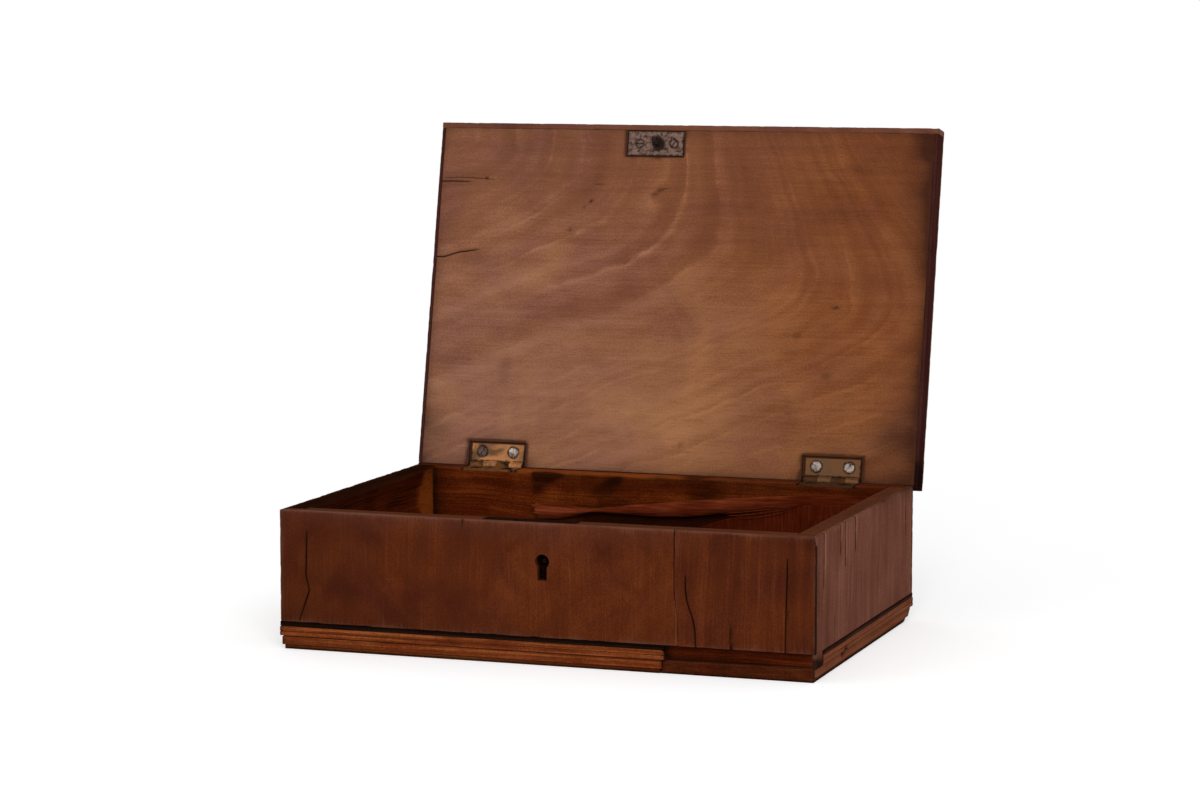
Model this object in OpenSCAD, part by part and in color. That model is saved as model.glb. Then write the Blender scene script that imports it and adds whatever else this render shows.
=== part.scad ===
// Ditty box: a small veneered keepsake box with a hinged lid, a link lock
// and the torn remains of a cloth lining. Shown open, the lid leaning back.
// X runs to the right, Y to the back and Z up; the origin is the centre of the base.

/* [Body] */
// Outside width over the veneers
body_w = 260; // [240:1:280]
// Outside depth over the veneers
body_d = 175; // [165:1:190]
// Height from the table to the rim
body_h = 66; // [62:0.5:80]
// Thickness of the solid wall boards
wall_t = 9; // [8.5:0.1:10]
// Thickness of the saw-cut veneer
veneer_t = 2; // [1.6:0.1:2.4]
// Thickness of the bottom board
bottom_t = 6.2; // [5:0.1:7]

/* [Base banding] */
// Height of the lower moulding strip
strip_low_h = 6.2; // [5:0.1:6.3]
// Top of the upper moulding strip
strip_top_z = 11; // [10:0.1:12]
// Bottom edge of the veneer, which is the top of the dark stringing
veneer_z = 13.2; // [12.5:0.1:15]
// Where the front moulding is broken off, from the middle
front_break_x = 59.5; // [30:0.5:110]
// Length missing from the right upper strip at its front end
right_break = 10; // [4:0.5:40]
// Width of the splits in the veneers and the lid where they gape most
split_w = 0.5; // [0.2:0.05:1]

/* [Lid] */
// How far the lid has swung open past closed
open_angle = 102; // [0:1:102]
// Thickness of the lid board
lid_t = 9; // [8.5:0.1:11]
// Overhang of the lid past each side of the body
lid_side = 2; // [1:0.1:3]
// Overhang of the lid past the front of the body
lid_front = 1.75; // [1:0.05:2.5]
// Width of the lipping along the front edge of the lid
lip_front_w = 2.9; // [2:0.1:3]
// Width of the lipping along the other edges of the lid
lip_w = 2; // [1.5:0.1:2.5]

/* [Hinges] */
// Distance of each hinge from the middle of the box
hinge_x = 88.5; // [70:0.5:100]
// Length of a hinge
hinge_l = 28.4; // [24:0.2:32]
// Reach of a leaf from the hinge pin
leaf_w = 11.2; // [10.5:0.1:11.4]
// Thickness of a leaf
leaf_t = 1.1; // [0.9:0.1:1.3]
// Radius of the rolled knuckles
knuckle_r = 2; // [1.8:0.05:2.1]
// Radius of the hinge pin
pin_r = 0.9; // [0.7:0.05:1]

/* [Lock] */
// Middle of the keyhole, from the middle of the box
key_x = 0.5; // [-2:0.5:2]
// Height of the keyhole's round part
key_z = 48.2; // [46:0.1:50]
// Radius of the keyhole's round part
key_r = 3.05; // [2.9:0.05:3.4]
// Length of the keyhole's slot below the middle of its round part
key_drop = 8.1; // [7:0.1:9]
// Travel of the lock bolt
bolt_travel = 6; // [5:0.1:6]
// Middle of the staple, from the middle of the box
staple_x = -13.5; // [-14:0.1:-13]

/* [Lining] */
// Thickness of the cloth
cloth_t = 0.5; // [0.4:0.05:0.8]
// How far the loose strip bellies out from the back wall
cloth_belly = 8; // [4:0.5:12]
// Depth of the small upright folds
cloth_fold = 0.7; // [0.2:0.1:1]
// Height of the torn top edge at its loose left end
cloth_low_z = 40; // [34:0.5:44]
// Height of the loose strip
strip_drop = 6.5; // [5:0.1:9]

/* [Hidden] */
$fn = 32;
eps = 0.01;

// Body faces
side_x = body_w / 2;
side_y = body_d / 2;
core_x = side_x - veneer_t;
core_y = side_y - veneer_t;
inner_x = core_x - wall_t;
inner_y = core_y - wall_t;
rebate = 5;
seam_x = 63.5;
seam_gap = 0.3;
seam_bow = 2;
seam_steps = 9;
tongue_gap = 0.4;
chip_w = 1.4;
chip_h = 6;

// Base banding: how far each band stands out from the wall boards
string_out = veneer_t + 0.1;
upper_out = veneer_t + 0.3;
lower_out = veneer_t - 0.5;
step_out = 0.5;
step_h = 2.1;
groove = 0.2;
break_r = 2;
low_break_x = front_break_x - 1.5;

// Splits, each from its top down, by distances from the sides
left_split = [
  [-side_x + 13.8, 58], [-side_x + 13.1, 35.5], [-side_x + 14.8, 28.5], [-side_x + 10.1, 15.5]
];
seam_split = [[seam_x + 5.6, 47], [seam_x + 6.1, 34.7], [seam_x + 9, 26.6], [seam_x + 10.3, 15]];
right_split = [[side_x - 13.4, 57], [side_x - 13.9, 28.4], [side_x - 14.1, 14.5]];
rim_split_y = [-core_y + 11.8, -core_y + 39.5, -core_y + 48, -core_y + 65.5];
rim_split_h = [19, 10, 18, 13];
lid_split_y = [-58.9, -19.5];
lid_split_l = [22, 19];
lid_split_deep = 3;

// Lid, as it lies closed
rim_gap = 0.3;
lid_z = body_h + rim_gap;
lid_top_z = lid_z + lid_t;
pin_y = side_y + 0.5;
pin_z = body_h + rim_gap / 2;
lid_x = side_x + lid_side;
lid_y0 = -side_y - lid_front;
lid_y1 = pin_y + knuckle_r;
board_y0 = lid_y0 + lip_front_w;
board_y1 = lid_y1 - lip_w;
board_x = lid_x - lip_w;
lid_corner_r = 1.2;

// Hinges: four knuckles, the first and third on the body leaf
knuckles = 4;
knuckle_gap = 0.2;
barrel_room = 0.3;
pin_clear_body = 0.02;
pin_clear_lid = 0.05;
leaf_gap_side = 0.6;
leaf_gap_end = 0.5;
hinge_screw_x = 8.4;
hinge_screw_y = pin_y - 7.2;

// Countersunk screws
screw_head_r = 2.75;
screw_head_h = 1.4;
screw_r = 1.25;
screw_l = 6;
screw_tip = 1.6;
screw_fit = 0.03;
slot_w = 0.75;
slot_deep = 0.7;

// Lock, let into the inner face of the front wall
lock_x0 = -30;
lock_x1 = 16;
lock_z0 = 35;
plate_t = 1.2;
case_x0 = -24;
case_x1 = 11;
case_z0 = 37;
case_wall = 1;
case_y0 = -core_y + 0.9;
case_y1 = -inner_y - plate_t;
lock_fit = 0.1;
key_slot_w = 4.1;
key_pin_r = 1;
bolt_y0 = case_y0 + 2;
bolt_y1 = case_y1 - 1.3;
bolt_x0 = key_x - 6;
bolt_x1 = case_x1 - case_wall - 0.6;
bolt_z0 = 54;
bolt_z1 = 62.4;
nose_r = 1.3;
nose_z = 60.6;
nose_x = staple_x + 1.8;
guide_x = -2;
guide_z = 59.4;
guide_r = 1;
lock_screw_x = [-27, 13.5];
lock_screw_z = [40, 58];

// Link plate, let into the underside of the lid
link_x0 = -29.7;
link_x1 = -0.1;
link_y0 = -85.9;
link_y1 = -73.4;
link_t = 1.2;
link_gap = 0.4;
staple_w = 2.2;
staple_y0 = case_y0 + 1.3;
staple_y1 = case_y1 - 0.6;
staple_z = 57.9;
link_screw_x = [-23.4, -5.2];
link_screw_y = (link_y0 + link_y1) / 2;
link_screw_r = 2.2;

// Torn lining: it runs from the right wall along the back wall
cloth_x0 = -61;
cloth_x1 = inner_x - 0.6;
cloth_cols = 44;
cloth_rows = 9;
cloth_wall_gap = 0.4;
cloth_floor = bottom_t + 0.6;
cloth_rise = 20.5;

// Swings the closed lid about the hinge pins to where it stands
module opened() {
  translate([0, pin_y, pin_z])
    rotate([-open_angle, 0, 0])
      translate([0, -pin_y, -pin_z])
        children();
}

// A box between two corners
module block(low, high) {
  translate(low) cube(high - low);
}

// A round bar along X
module rod_x(r, x0, x1, y, z) {
  translate([x0, y, z])
    rotate([0, 90, 0])
      cylinder(r = r, h = x1 - x0);
}

// A round bar along Y
module rod_y(r, y0, y1, x, z) {
  translate([x, y0, z])
    rotate([-90, 0, 0])
      cylinder(r = r, h = y1 - y0);
}

// A countersunk wood screw, head up at the origin, pointing down
module wood_screw(head_r, grow, turn) {
  difference() {
    union() {
      translate([0, 0, -screw_head_h])
        cylinder(r1 = screw_r + grow, r2 = head_r + grow, h = screw_head_h);
      translate([0, 0, -screw_l])
        cylinder(r = screw_r + grow, h = screw_l - screw_head_h + eps);
      translate([0, 0, -screw_l - screw_tip])
        cylinder(r1 = 0.15, r2 = screw_r + grow, h = screw_tip);
    }
    if (grow == 0)
      rotate([0, 0, turn])
        translate([-head_r - 1, -slot_w / 2, -slot_deep])
          cube([2 * head_r + 2, slot_w, slot_deep + 1]);
  }
}

// Solid wood of the body

module bottom_board() {
  color("#6b3f22")
    difference() {
      block([-core_x, -core_y, 0], [core_x, core_y, bottom_t]);
      worn_back_corner();
    }
}

// The back right corner of the base is worn round
module worn_back_corner() {
  worn_r = 16;
  translate([core_x - 14, core_y - worn_r + 3, worn_r - 0.5])
    rotate([0, 90, 0])
      difference() {
        cube([worn_r + 4, worn_r + 4, 30]);
        translate([0, 0, -1])
          cylinder(r = worn_r, h = 32, $fn = 64);
      }
}

module wall_long() {
  block([-core_x, -core_y, bottom_t], [core_x, -inner_y, body_h]);
}

module corner_rebates() {
  for (s = [-1, 1])
    translate([s * (core_x - wall_t / 2), -inner_y - rebate / 2 + eps, body_h / 2])
      cube([wall_t + 2 * eps, rebate + 2 * eps, body_h + 2], center = true);
}

module front_wall() {
  color("#5a2f18")
    difference() {
      wall_long();
      corner_rebates();
      keyhole(-core_y - 1, case_y0 + 1);
      block([case_x0 - lock_fit, case_y0 - lock_fit, case_z0 - lock_fit],
            [case_x1 + lock_fit, -inner_y + 1, body_h + 1]);
      block([lock_x0 - lock_fit, case_y1 - lock_fit / 2, lock_z0 - lock_fit],
            [lock_x1 + lock_fit, -inner_y + 1, body_h + 1]);
      block([lock_x0 - lock_fit, case_y0 - lock_fit, body_h - plate_t - lock_fit / 2],
            [lock_x1 + lock_fit, -inner_y + 1, body_h + 1]);
      lock_screw_set(screw_fit);
    }
}

module back_wall() {
  color("#7a4524")
    difference() {
      mirror([0, 1, 0])
        difference() {
          wall_long();
          corner_rebates();
        }
      for (s = [-1, 1]) hinge_body_mortise(s * hinge_x);
      body_screw_set(screw_fit);
    }
}

module side_wall() {
  block([inner_x, -inner_y - rebate, bottom_t], [core_x, inner_y + rebate, body_h]);
}

module left_wall() {
  color("#7a4524") mirror([1, 0, 0]) side_wall();
}

module right_wall() {
  color("#7a4524") side_wall();
}

// The keyhole: a round hole with a slot hanging below it
module keyhole(y0, y1) {
  rod_y(key_r, y0, y1, key_x, key_z);
  block([key_x - key_slot_w / 2, y0, key_z - key_drop], [key_x + key_slot_w / 2, y1, key_z]);
}

// Veneers

// The open joint between the two leaves of the front: it swings out low down
function seam_at(z) = seam_x + seam_bow * smooth(38, 24, z);
function seam_z(i) = veneer_z + i * (body_h - veneer_z) / seam_steps;

// A leaf of the front veneer from the side at x up to the joint
module front_leaf(x, gap) {
  translate([0, -core_y, 0])
    rotate([90, 0, 0])
      linear_extrude(veneer_t)
        polygon(concat(
          [[x, body_h], [x, veneer_z]],
          [for (i = [0 : seam_steps]) [seam_at(seam_z(i)) + gap, seam_z(i)]]));
}

// A split seen flat: it gapes most in the middle and closes at both ends
module split(path) {
  last = len(path) - 1;
  function gape(i) = [split_w / 2 * sin(180 * i / last), 0];
  polygon(concat(
    [for (i = [0 : last]) path[i] - gape(i)],
    [for (i = [last - 1 : -1 : 1]) path[i] + gape(i)]));
}

// Carries a flat cut right through the front veneer
module through_front() {
  translate([0, -core_y + 1, 0])
    rotate([90, 0, 0])
      linear_extrude(veneer_t + 2)
        children();
}

module front_veneer_main() {
  color("#6e371d")
    difference() {
      front_leaf(-side_x, 0);
      keyhole(-side_y - 1, -core_y + 1);
      through_front() split(left_split);
    }
}

// The end leaf has lost a chip at the rim, where it meets the right side
module front_veneer_end() {
  color("#64321b")
    difference() {
      front_leaf(side_x, seam_gap);
      through_front() split(seam_split);
      through_front() split(right_split);
      through_front()
        polygon([
          [side_x + 1, body_h + 1], [side_x - chip_w, body_h + 1],
          [side_x - chip_w, body_h - chip_h / 2], [side_x, body_h - chip_h],
          [side_x + 1, body_h - chip_h]
        ]);
    }
}

module back_veneer() {
  color("#6e371d")
    difference() {
      block([-side_x, core_y, veneer_z], [side_x, side_y, body_h]);
      for (s = [-1, 1]) hinge_body_mortise(s * hinge_x);
    }
}

module side_veneer() {
  block([core_x, -core_y, veneer_z], [side_x, core_y, body_h]);
}

module left_veneer() {
  color("#5f3526") mirror([1, 0, 0]) side_veneer();
}

// The right veneer is split from the rim down, and its front strip runs on down past
// the end of the broken moulding
module right_veneer() {
  color("#5f3526")
    difference() {
      union() {
        side_veneer();
        block([core_x, -core_y, strip_low_h],
              [side_x, -core_y + right_break - tongue_gap, veneer_z + eps]);
      }
      for (i = [0 : len(rim_split_y) - 1])
        translate([core_x - 1, rim_split_y[i], 0])
          rotate([90, 0, 90])
            linear_extrude(veneer_t + 2)
              split([[0, body_h + 5], [0.3, body_h - 4], [0, body_h - rim_split_h[i]]]);
    }
}

// Base banding. A band is a profile run along one side and mitred at the corners.

module upper_profile() {
  mid = (strip_low_h + strip_top_z) / 2;
  top = strip_top_z;
  low = strip_low_h + 0.2;
  polygon([
    [0, low], [upper_out - 0.3, low], [upper_out, low + 0.3],
    [upper_out, mid - 0.2], [upper_out - groove, mid], [upper_out, mid + 0.2],
    [upper_out, top - 0.4], [upper_out - 0.4, top], [0, top]
  ]);
}

module lower_profile() {
  polygon([
    [0, 0], [step_out, 0], [step_out, step_h - 0.1], [lower_out - 0.3, step_h],
    [lower_out, step_h + 0.3], [lower_out, strip_low_h - 0.4],
    [lower_out - 0.4, strip_low_h], [0, strip_low_h]
  ]);
}

module string_profile() {
  translate([0, strip_top_z]) square([string_out, veneer_z - strip_top_z]);
}

// Runs a profile along the front, or along a side turned to the front
module run_front(half_l, half_w) {
  far = half_l + 5;
  intersection() {
    translate([-far, -half_w, 0])
      rotate([90, 0, 90])
        mirror([1, 0, 0])
          linear_extrude(2 * far)
            children();
    translate([0, 0, -1])
      linear_extrude(veneer_z + 2)
        polygon([
          [-half_l, -half_w], [-half_l - 4, -half_w - 4],
          [half_l + 4, -half_w - 4], [half_l, -half_w]
        ]);
  }
}

module run_side(s) {
  rotate([0, 0, s * 90]) run_front(core_y, core_x) children();
}

module front_cut(x) {
  block([x, -side_y - 5, -1], [side_x + 5, -core_y + 1, veneer_z + 1]);
}

// The broken end is worn round in the front view, at the outer corner given by z and up
module front_worn_end(x, z, up) {
  side = break_r + 1;
  translate([x - break_r, -side_y - 5, z - up * break_r])
    difference() {
      translate([0, 0, up > 0 ? 0 : -side]) cube([side, 10, side]);
      rod_y(break_r, -1, 11, 0, 0);
    }
}

module front_upper_strip() {
  color("#9a5a2c")
    difference() {
      run_front(core_x, core_y) upper_profile();
      front_cut(front_break_x);
      front_worn_end(front_break_x, strip_top_z, 1);
    }
}

module front_lower_strip() {
  color("#93552a")
    difference() {
      run_front(core_x, core_y) lower_profile();
      front_cut(low_break_x);
      front_worn_end(low_break_x, 0, -1);
    }
}

module front_stringing() {
  color("#1c1512")
    difference() {
      run_front(core_x, core_y) string_profile();
      front_cut(front_break_x);
    }
}

module back_upper_strip() {
  color("#9a5a2c") rotate([0, 0, 180]) run_front(core_x, core_y) upper_profile();
}

module back_lower_strip() {
  color("#93552a")
    difference() {
      rotate([0, 0, 180]) run_front(core_x, core_y) lower_profile();
      worn_back_corner();
    }
}

module back_stringing() {
  color("#1c1512") rotate([0, 0, 180]) run_front(core_x, core_y) string_profile();
}

module left_upper_strip() {
  color("#9a5a2c") run_side(-1) upper_profile();
}

module left_lower_strip() {
  color("#93552a") run_side(-1) lower_profile();
}

module left_stringing() {
  color("#1c1512") run_side(-1) string_profile();
}

module right_cut(y) {
  block([core_x - 1, -side_y - 5, -1], [side_x + 5, y, veneer_z + 1]);
}

module right_upper_strip() {
  color("#9a5a2c")
    difference() {
      run_side(1) upper_profile();
      right_cut(-core_y + right_break);
    }
}

module right_lower_strip() {
  color("#93552a")
    difference() {
      run_side(1) lower_profile();
      right_cut(-core_y);
      worn_back_corner();
    }
}

module right_stringing() {
  color("#1c1512")
    difference() {
      run_side(1) string_profile();
      right_cut(-core_y + right_break + 2);
    }
}

// Hinges

function knuckle_x0(k) = -hinge_l / 2 + k * hinge_l / knuckles + knuckle_gap / 2;
function knuckle_x1(k) = -hinge_l / 2 + (k + 1) * hinge_l / knuckles - knuckle_gap / 2;

// One leaf with its knuckles; first is 0 for the body leaf and 1 for the lid leaf
module hinge_leaf(first, z0, clear) {
  leaf_y1 = pin_y - knuckle_r - barrel_room;
  difference() {
    union() {
      block([-hinge_l / 2, pin_y - leaf_w, z0], [hinge_l / 2, leaf_y1, z0 + leaf_t]);
      for (k = [first : 2 : knuckles - 1]) {
        block([knuckle_x0(k), leaf_y1 - eps, z0], [knuckle_x1(k), pin_y, z0 + leaf_t]);
        rod_x(knuckle_r, knuckle_x0(k), knuckle_x1(k), pin_y, pin_z);
      }
    }
    rod_x(pin_r + clear, -hinge_l, hinge_l, pin_y, pin_z);
  }
}

module hinge_body_leaf(x) {
  color("#8a6a35")
    difference() {
      translate([x, 0, 0]) hinge_leaf(0, body_h - leaf_t, pin_clear_body);
      body_screw_set(screw_fit);
    }
}

module hinge_lid_leaf(x) {
  color("#a8813f")
    opened()
      difference() {
        translate([x, 0, 0]) hinge_leaf(1, lid_z, pin_clear_lid);
        lid_screw_set(screw_fit);
      }
}

module hinge_pin(x) {
  color("#8f8a80") rod_x(pin_r, x - hinge_l / 2, x + hinge_l / 2, pin_y, pin_z);
}

// Room for the barrel, open to the back
module barrel_recess(x) {
  rod_x(knuckle_r + barrel_room, x - hinge_l / 2 - barrel_room, x + hinge_l / 2 + barrel_room, pin_y, pin_z);
}

module hinge_body_mortise(x) {
  block([x - hinge_l / 2 - 0.2, inner_y - 1, body_h - leaf_t - 0.05],
        [x + hinge_l / 2 + 0.2, pin_y + 5, body_h + 1]);
  barrel_recess(x);
}

module hinge_lid_mortise(x) {
  block([x - hinge_l / 2 - leaf_gap_side, pin_y - leaf_w - leaf_gap_end, lid_z - 1],
        [x + hinge_l / 2 + 0.2, pin_y - knuckle_r, lid_z + leaf_t + 0.05]);
  barrel_recess(x);
  block([x - hinge_l / 2 - barrel_room, pin_y - knuckle_r - barrel_room, lid_z - 1],
        [x + hinge_l / 2 + barrel_room, pin_y + knuckle_r + 1, pin_z + knuckle_r * 0.7]);
  block([x - hinge_l / 2 - barrel_room, pin_y, lid_z - 1],
        [x + hinge_l / 2 + barrel_room, pin_y + knuckle_r + 1, pin_z + knuckle_r + barrel_room]);
}

// Screws: each pair of hinge screws has its own slot angles
module body_screw_set(grow) {
  for (s = [-1, 1])
    for (i = [-1, 1])
      translate([s * hinge_x + i * hinge_screw_x, hinge_screw_y, body_h])
        wood_screw(screw_head_r, grow, 40 + 35 * i * s);
}

module lid_screw_set(grow) {
  for (s = [-1, 1])
    for (i = [-1, 1])
      translate([s * hinge_x + i * hinge_screw_x, hinge_screw_y, lid_z])
        rotate([180, 0, 0])
          wood_screw(screw_head_r, grow, s < 0 ? (i < 0 ? 58 : 90) : (i < 0 ? 150 : 47));
}

module hinge_body_screws() {
  color("#5b534c") body_screw_set(0);
}

module hinge_lid_screws() {
  color("#9a948c") opened() lid_screw_set(0);
}

// Lock

module lock_plate() {
  color("#4a413b")
    difference() {
      union() {
        block([lock_x0, case_y1, lock_z0], [lock_x1, -inner_y, body_h]);
        block([lock_x0, case_y0, body_h - plate_t], [lock_x1, case_y1 + eps, body_h]);
      }
      block([staple_x - 1.9, staple_y0 - 0.6, body_h - 3], [staple_x + 1.9, case_y1, body_h + 1]);
      lock_screw_set(screw_fit);
    }
}

module lock_case() {
  color("#5a4c40")
    difference() {
      block([case_x0, case_y0, case_z0], [case_x1, case_y1, body_h - plate_t]);
      block([case_x0 + case_wall, case_y0 + 0.9, case_z0 + case_wall],
            [case_x1 - case_wall, case_y1 + 1, body_h]);
      keyhole(case_y0 - 1, case_y0 + 1.5);
    }
}

// The bolt: a flat body with the key's talon below, a guide slot and a round nose
module lock_bolt() {
  slot_r = guide_r + 0.1;
  color("#a58a4c")
    difference() {
      union() {
        block([bolt_x0, bolt_y0, bolt_z0], [bolt_x1, bolt_y1, bolt_z1]);
        rod_x(nose_r, nose_x, bolt_x0 + eps, (bolt_y0 + bolt_y1) / 2, nose_z);
      }
      rod_y(2.4, bolt_y0 - 1, bolt_y1 + 1, key_x, bolt_z0 - 0.2);
      rod_y(slot_r, bolt_y0 - 1, bolt_y1 + 1, guide_x, guide_z);
      rod_y(slot_r, bolt_y0 - 1, bolt_y1 + 1, guide_x + bolt_travel, guide_z);
      block([guide_x, bolt_y0 - 1, guide_z - slot_r],
            [guide_x + bolt_travel, bolt_y1 + 1, guide_z + slot_r]);
    }
}

// A bent leaf that bears down on the bolt
module lock_spring() {
  leaf = 0.4;
  right = case_x1 - case_wall;
  top = body_h - plate_t - 0.2;
  color("#77716a")
    translate([0, bolt_y1 - 0.3, 0])
      rotate([90, 0, 0])
        linear_extrude(bolt_y1 - bolt_y0 - 0.6)
          polygon([
            [right, top], [right, top - leaf], [bolt_x0 + 4, bolt_z1 + 0.15],
            [bolt_x0 + 2, bolt_z1 + 0.5], [bolt_x0 + 2, bolt_z1 + 0.5 + leaf],
            [bolt_x0 + 4, bolt_z1 + 0.15 + leaf], [right - 2, top]
          ]);
}

module key_pin() {
  color("#8d8478") rod_y(key_pin_r, case_y0 + 0.6, case_y1, key_x, key_z);
}

module bolt_guide_pin() {
  color("#8d8478") rod_y(guide_r, bolt_y0 - 0.6, case_y1, guide_x, guide_z);
}

module lock_screw_set(grow) {
  for (x = lock_screw_x)
    for (z = lock_screw_z)
      translate([x, -inner_y, z])
        rotate([-90, 0, 0])
          wood_screw(2, grow, 30 + x + z);
}

module lock_screws() {
  color("#5b534c") lock_screw_set(0);
}

// Link plate: it holds the staple that the bolt passes through

module link_plate() {
  color("#8b8682")
    opened()
      difference() {
        union() {
          block([link_x0, link_y0, lid_z], [link_x1, link_y1, lid_z + link_t]);
          block([staple_x - staple_w / 2, staple_y0, staple_z + 1.6],
                [staple_x + staple_w / 2, staple_y1, lid_z + eps]);
          rod_x((staple_y1 - staple_y0) / 2, staple_x - staple_w / 2, staple_x + staple_w / 2,
                (staple_y0 + staple_y1) / 2, staple_z + (staple_y1 - staple_y0) / 2);
        }
        rod_x(nose_r + 0.5, staple_x - 5, staple_x + 5, (bolt_y0 + bolt_y1) / 2, nose_z);
        link_screw_set(screw_fit);
      }
}

module link_screw_set(grow) {
  for (x = link_screw_x)
    translate([x, link_screw_y, lid_z])
      rotate([180, 0, 0])
        wood_screw(link_screw_r, grow, 70 + 3 * x);
}

module link_plate_screws() {
  color("#6f6a66") opened() link_screw_set(0);
}

// Lid boards

module lid_cuts() {
  for (s = [-1, 1]) hinge_lid_mortise(s * hinge_x);
  lid_screw_set(screw_fit);
  block([link_x0 - link_gap, link_y0 - link_gap, lid_z - 1],
        [link_x1 + link_gap, link_y1 + link_gap, lid_z + link_t + 0.05]);
  link_screw_set(screw_fit);
}

// The four upright corners of the lid are worn round
module lid_corner_cuts() {
  side = lid_corner_r + 1;
  tall = lid_t + veneer_t + 4;
  for (sx = [-1, 1])
    for (y = [lid_y0 + lid_corner_r, lid_y1 - lid_corner_r])
      translate([sx * (lid_x - lid_corner_r), y, lid_z - 2])
        difference() {
          translate([sx > 0 ? 0 : -side, y > 0 ? 0 : -side, 0]) cube([side, side, tall]);
          translate([0, 0, -1]) cylinder(r = lid_corner_r, h = tall + 2);
        }
}

// Two splits run in from the left end of the lid board
module lid_splits() {
  for (i = [0 : len(lid_split_y) - 1])
    translate([-board_x, lid_split_y[i], lid_z - 1])
      linear_extrude(lid_split_deep + 1)
        mirror([1, -1, 0])
          split([[0.7, -6], [0, 4], [-1.4, lid_split_l[i]]]);
}

module lid_board() {
  color("#a5683a")
    opened()
      difference() {
        block([-board_x, board_y0, lid_z], [board_x, board_y1, lid_top_z]);
        lid_cuts();
        lid_splits();
      }
}

module lid_veneer() {
  color("#6a3520")
    opened()
      difference() {
        block([-lid_x, lid_y0, lid_top_z], [lid_x, lid_y1, lid_top_z + veneer_t]);
        lid_corner_cuts();
      }
}

module lid_front_lipping() {
  color("#5f3020")
    opened()
      difference() {
        block([-lid_x, lid_y0, lid_z], [lid_x, board_y0, lid_top_z]);
        lid_cuts();
        lid_corner_cuts();
      }
}

module lid_back_lipping() {
  color("#4c281b")
    opened()
      difference() {
        block([-lid_x, board_y1, lid_z], [lid_x, lid_y1, lid_top_z]);
        lid_cuts();
        lid_corner_cuts();
      }
}

module lid_side_lipping() {
  block([board_x, board_y0, lid_z], [lid_x, board_y1, lid_top_z]);
}

module lid_left_lipping() {
  color("#5f3020") opened() mirror([1, 0, 0]) lid_side_lipping();
}

module lid_right_lipping() {
  color("#54303a") opened() lid_side_lipping();
}

// Torn lining. u runs from the loose left end to the right wall and v from the
// torn top edge down. The right third still clings to the wall down to the floor;
// the rest has come away as a strip that bellies out and droops to the left.

function smooth(a, b, x) =
  let (t = min(1, max(0, (x - a) / (b - a)))) t * t * (3 - 2 * t);
function cloth_x(u) = cloth_x0 + u * (cloth_x1 - cloth_x0);
function cloth_top(x) =
  cloth_low_z + cloth_rise * sin(90 * min(1, (x - cloth_x0) / 160)) + 0.5 * sin(x * 9);
function cloth_low(x) =
  let (k = smooth(22, 60, x)) (cloth_top(x) - strip_drop) * (1 - k) + cloth_floor * k;
function cloth_out(x, v) =
  let (loose = 1 - smooth(30, 85, x))
  cloth_belly * loose * (0.35 + 0.65 * sin(180 * min(1, v * 0.75 + 0.1)))
  + cloth_fold * (1 + sin(x * 21 + 60 * v)) * (0.4 + v) * 0.7;
function cloth_point(u, v, side) =
  let (x = cloth_x(u), top = cloth_top(x), low = cloth_low(x))
  [x, inner_y - cloth_wall_gap - cloth_out(x, v) - side * cloth_t, top + (low - top) * v];

module torn_lining() {
  nu = cloth_cols;
  nv = cloth_rows;
  pts = [
    for (side = [0, 1]) for (i = [0 : nu]) for (j = [0 : nv])
      cloth_point(i / nu, j / nv, side)
  ];
  back = (nu + 1) * (nv + 1);
  function id(side, i, j) = side * back + i * (nv + 1) + j;
  function quad(a, b, c, d) = [[a, b, c], [a, c, d]];
  faces = [
    for (i = [0 : nu - 1]) for (j = [0 : nv - 1]) for (t = concat(
      quad(id(0, i, j), id(0, i, j + 1), id(0, i + 1, j + 1), id(0, i + 1, j)),
      quad(id(1, i, j), id(1, i + 1, j), id(1, i + 1, j + 1), id(1, i, j + 1)))) t,
    for (i = [0 : nu - 1]) for (t = concat(
      quad(id(0, i, 0), id(0, i + 1, 0), id(1, i + 1, 0), id(1, i, 0)),
      quad(id(0, i, nv), id(1, i, nv), id(1, i + 1, nv), id(0, i + 1, nv)))) t,
    for (j = [0 : nv - 1]) for (t = concat(
      quad(id(0, 0, j), id(1, 0, j), id(1, 0, j + 1), id(0, 0, j + 1)),
      quad(id(0, nu, j), id(0, nu, j + 1), id(1, nu, j + 1), id(1, nu, j)))) t
  ];
  color("#b0523a") polyhedron(points = pts, faces = faces);
}

bottom_board();
front_wall();
back_wall();
left_wall();
right_wall();
front_veneer_main();
front_veneer_end();
back_veneer();
left_veneer();
right_veneer();
front_stringing();
back_stringing();
left_stringing();
right_stringing();
front_upper_strip();
back_upper_strip();
left_upper_strip();
right_upper_strip();
front_lower_strip();
back_lower_strip();
left_lower_strip();
right_lower_strip();
hinge_body_leaf(-hinge_x);  // left_hinge_body_leaf
hinge_body_leaf(hinge_x);  // right_hinge_body_leaf
hinge_pin(-hinge_x);  // left_hinge_pin
hinge_pin(hinge_x);  // right_hinge_pin
hinge_body_screws();
lock_plate();
lock_case();
lock_bolt();
lock_spring();
key_pin();
bolt_guide_pin();
lock_screws();
torn_lining();
lid_board();
lid_veneer();
lid_front_lipping();
lid_back_lipping();
lid_left_lipping();
lid_right_lipping();
hinge_lid_leaf(-hinge_x);  // left_hinge_lid_leaf
hinge_lid_leaf(hinge_x);  // right_hinge_lid_leaf
hinge_lid_screws();
link_plate();
link_plate_screws();
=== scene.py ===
# Ditty box: worn veneered boards, brass butts, a tinned link plate and torn silk,
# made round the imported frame. Sizes in this file are millimetres until a mesh is written.
import math

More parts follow.
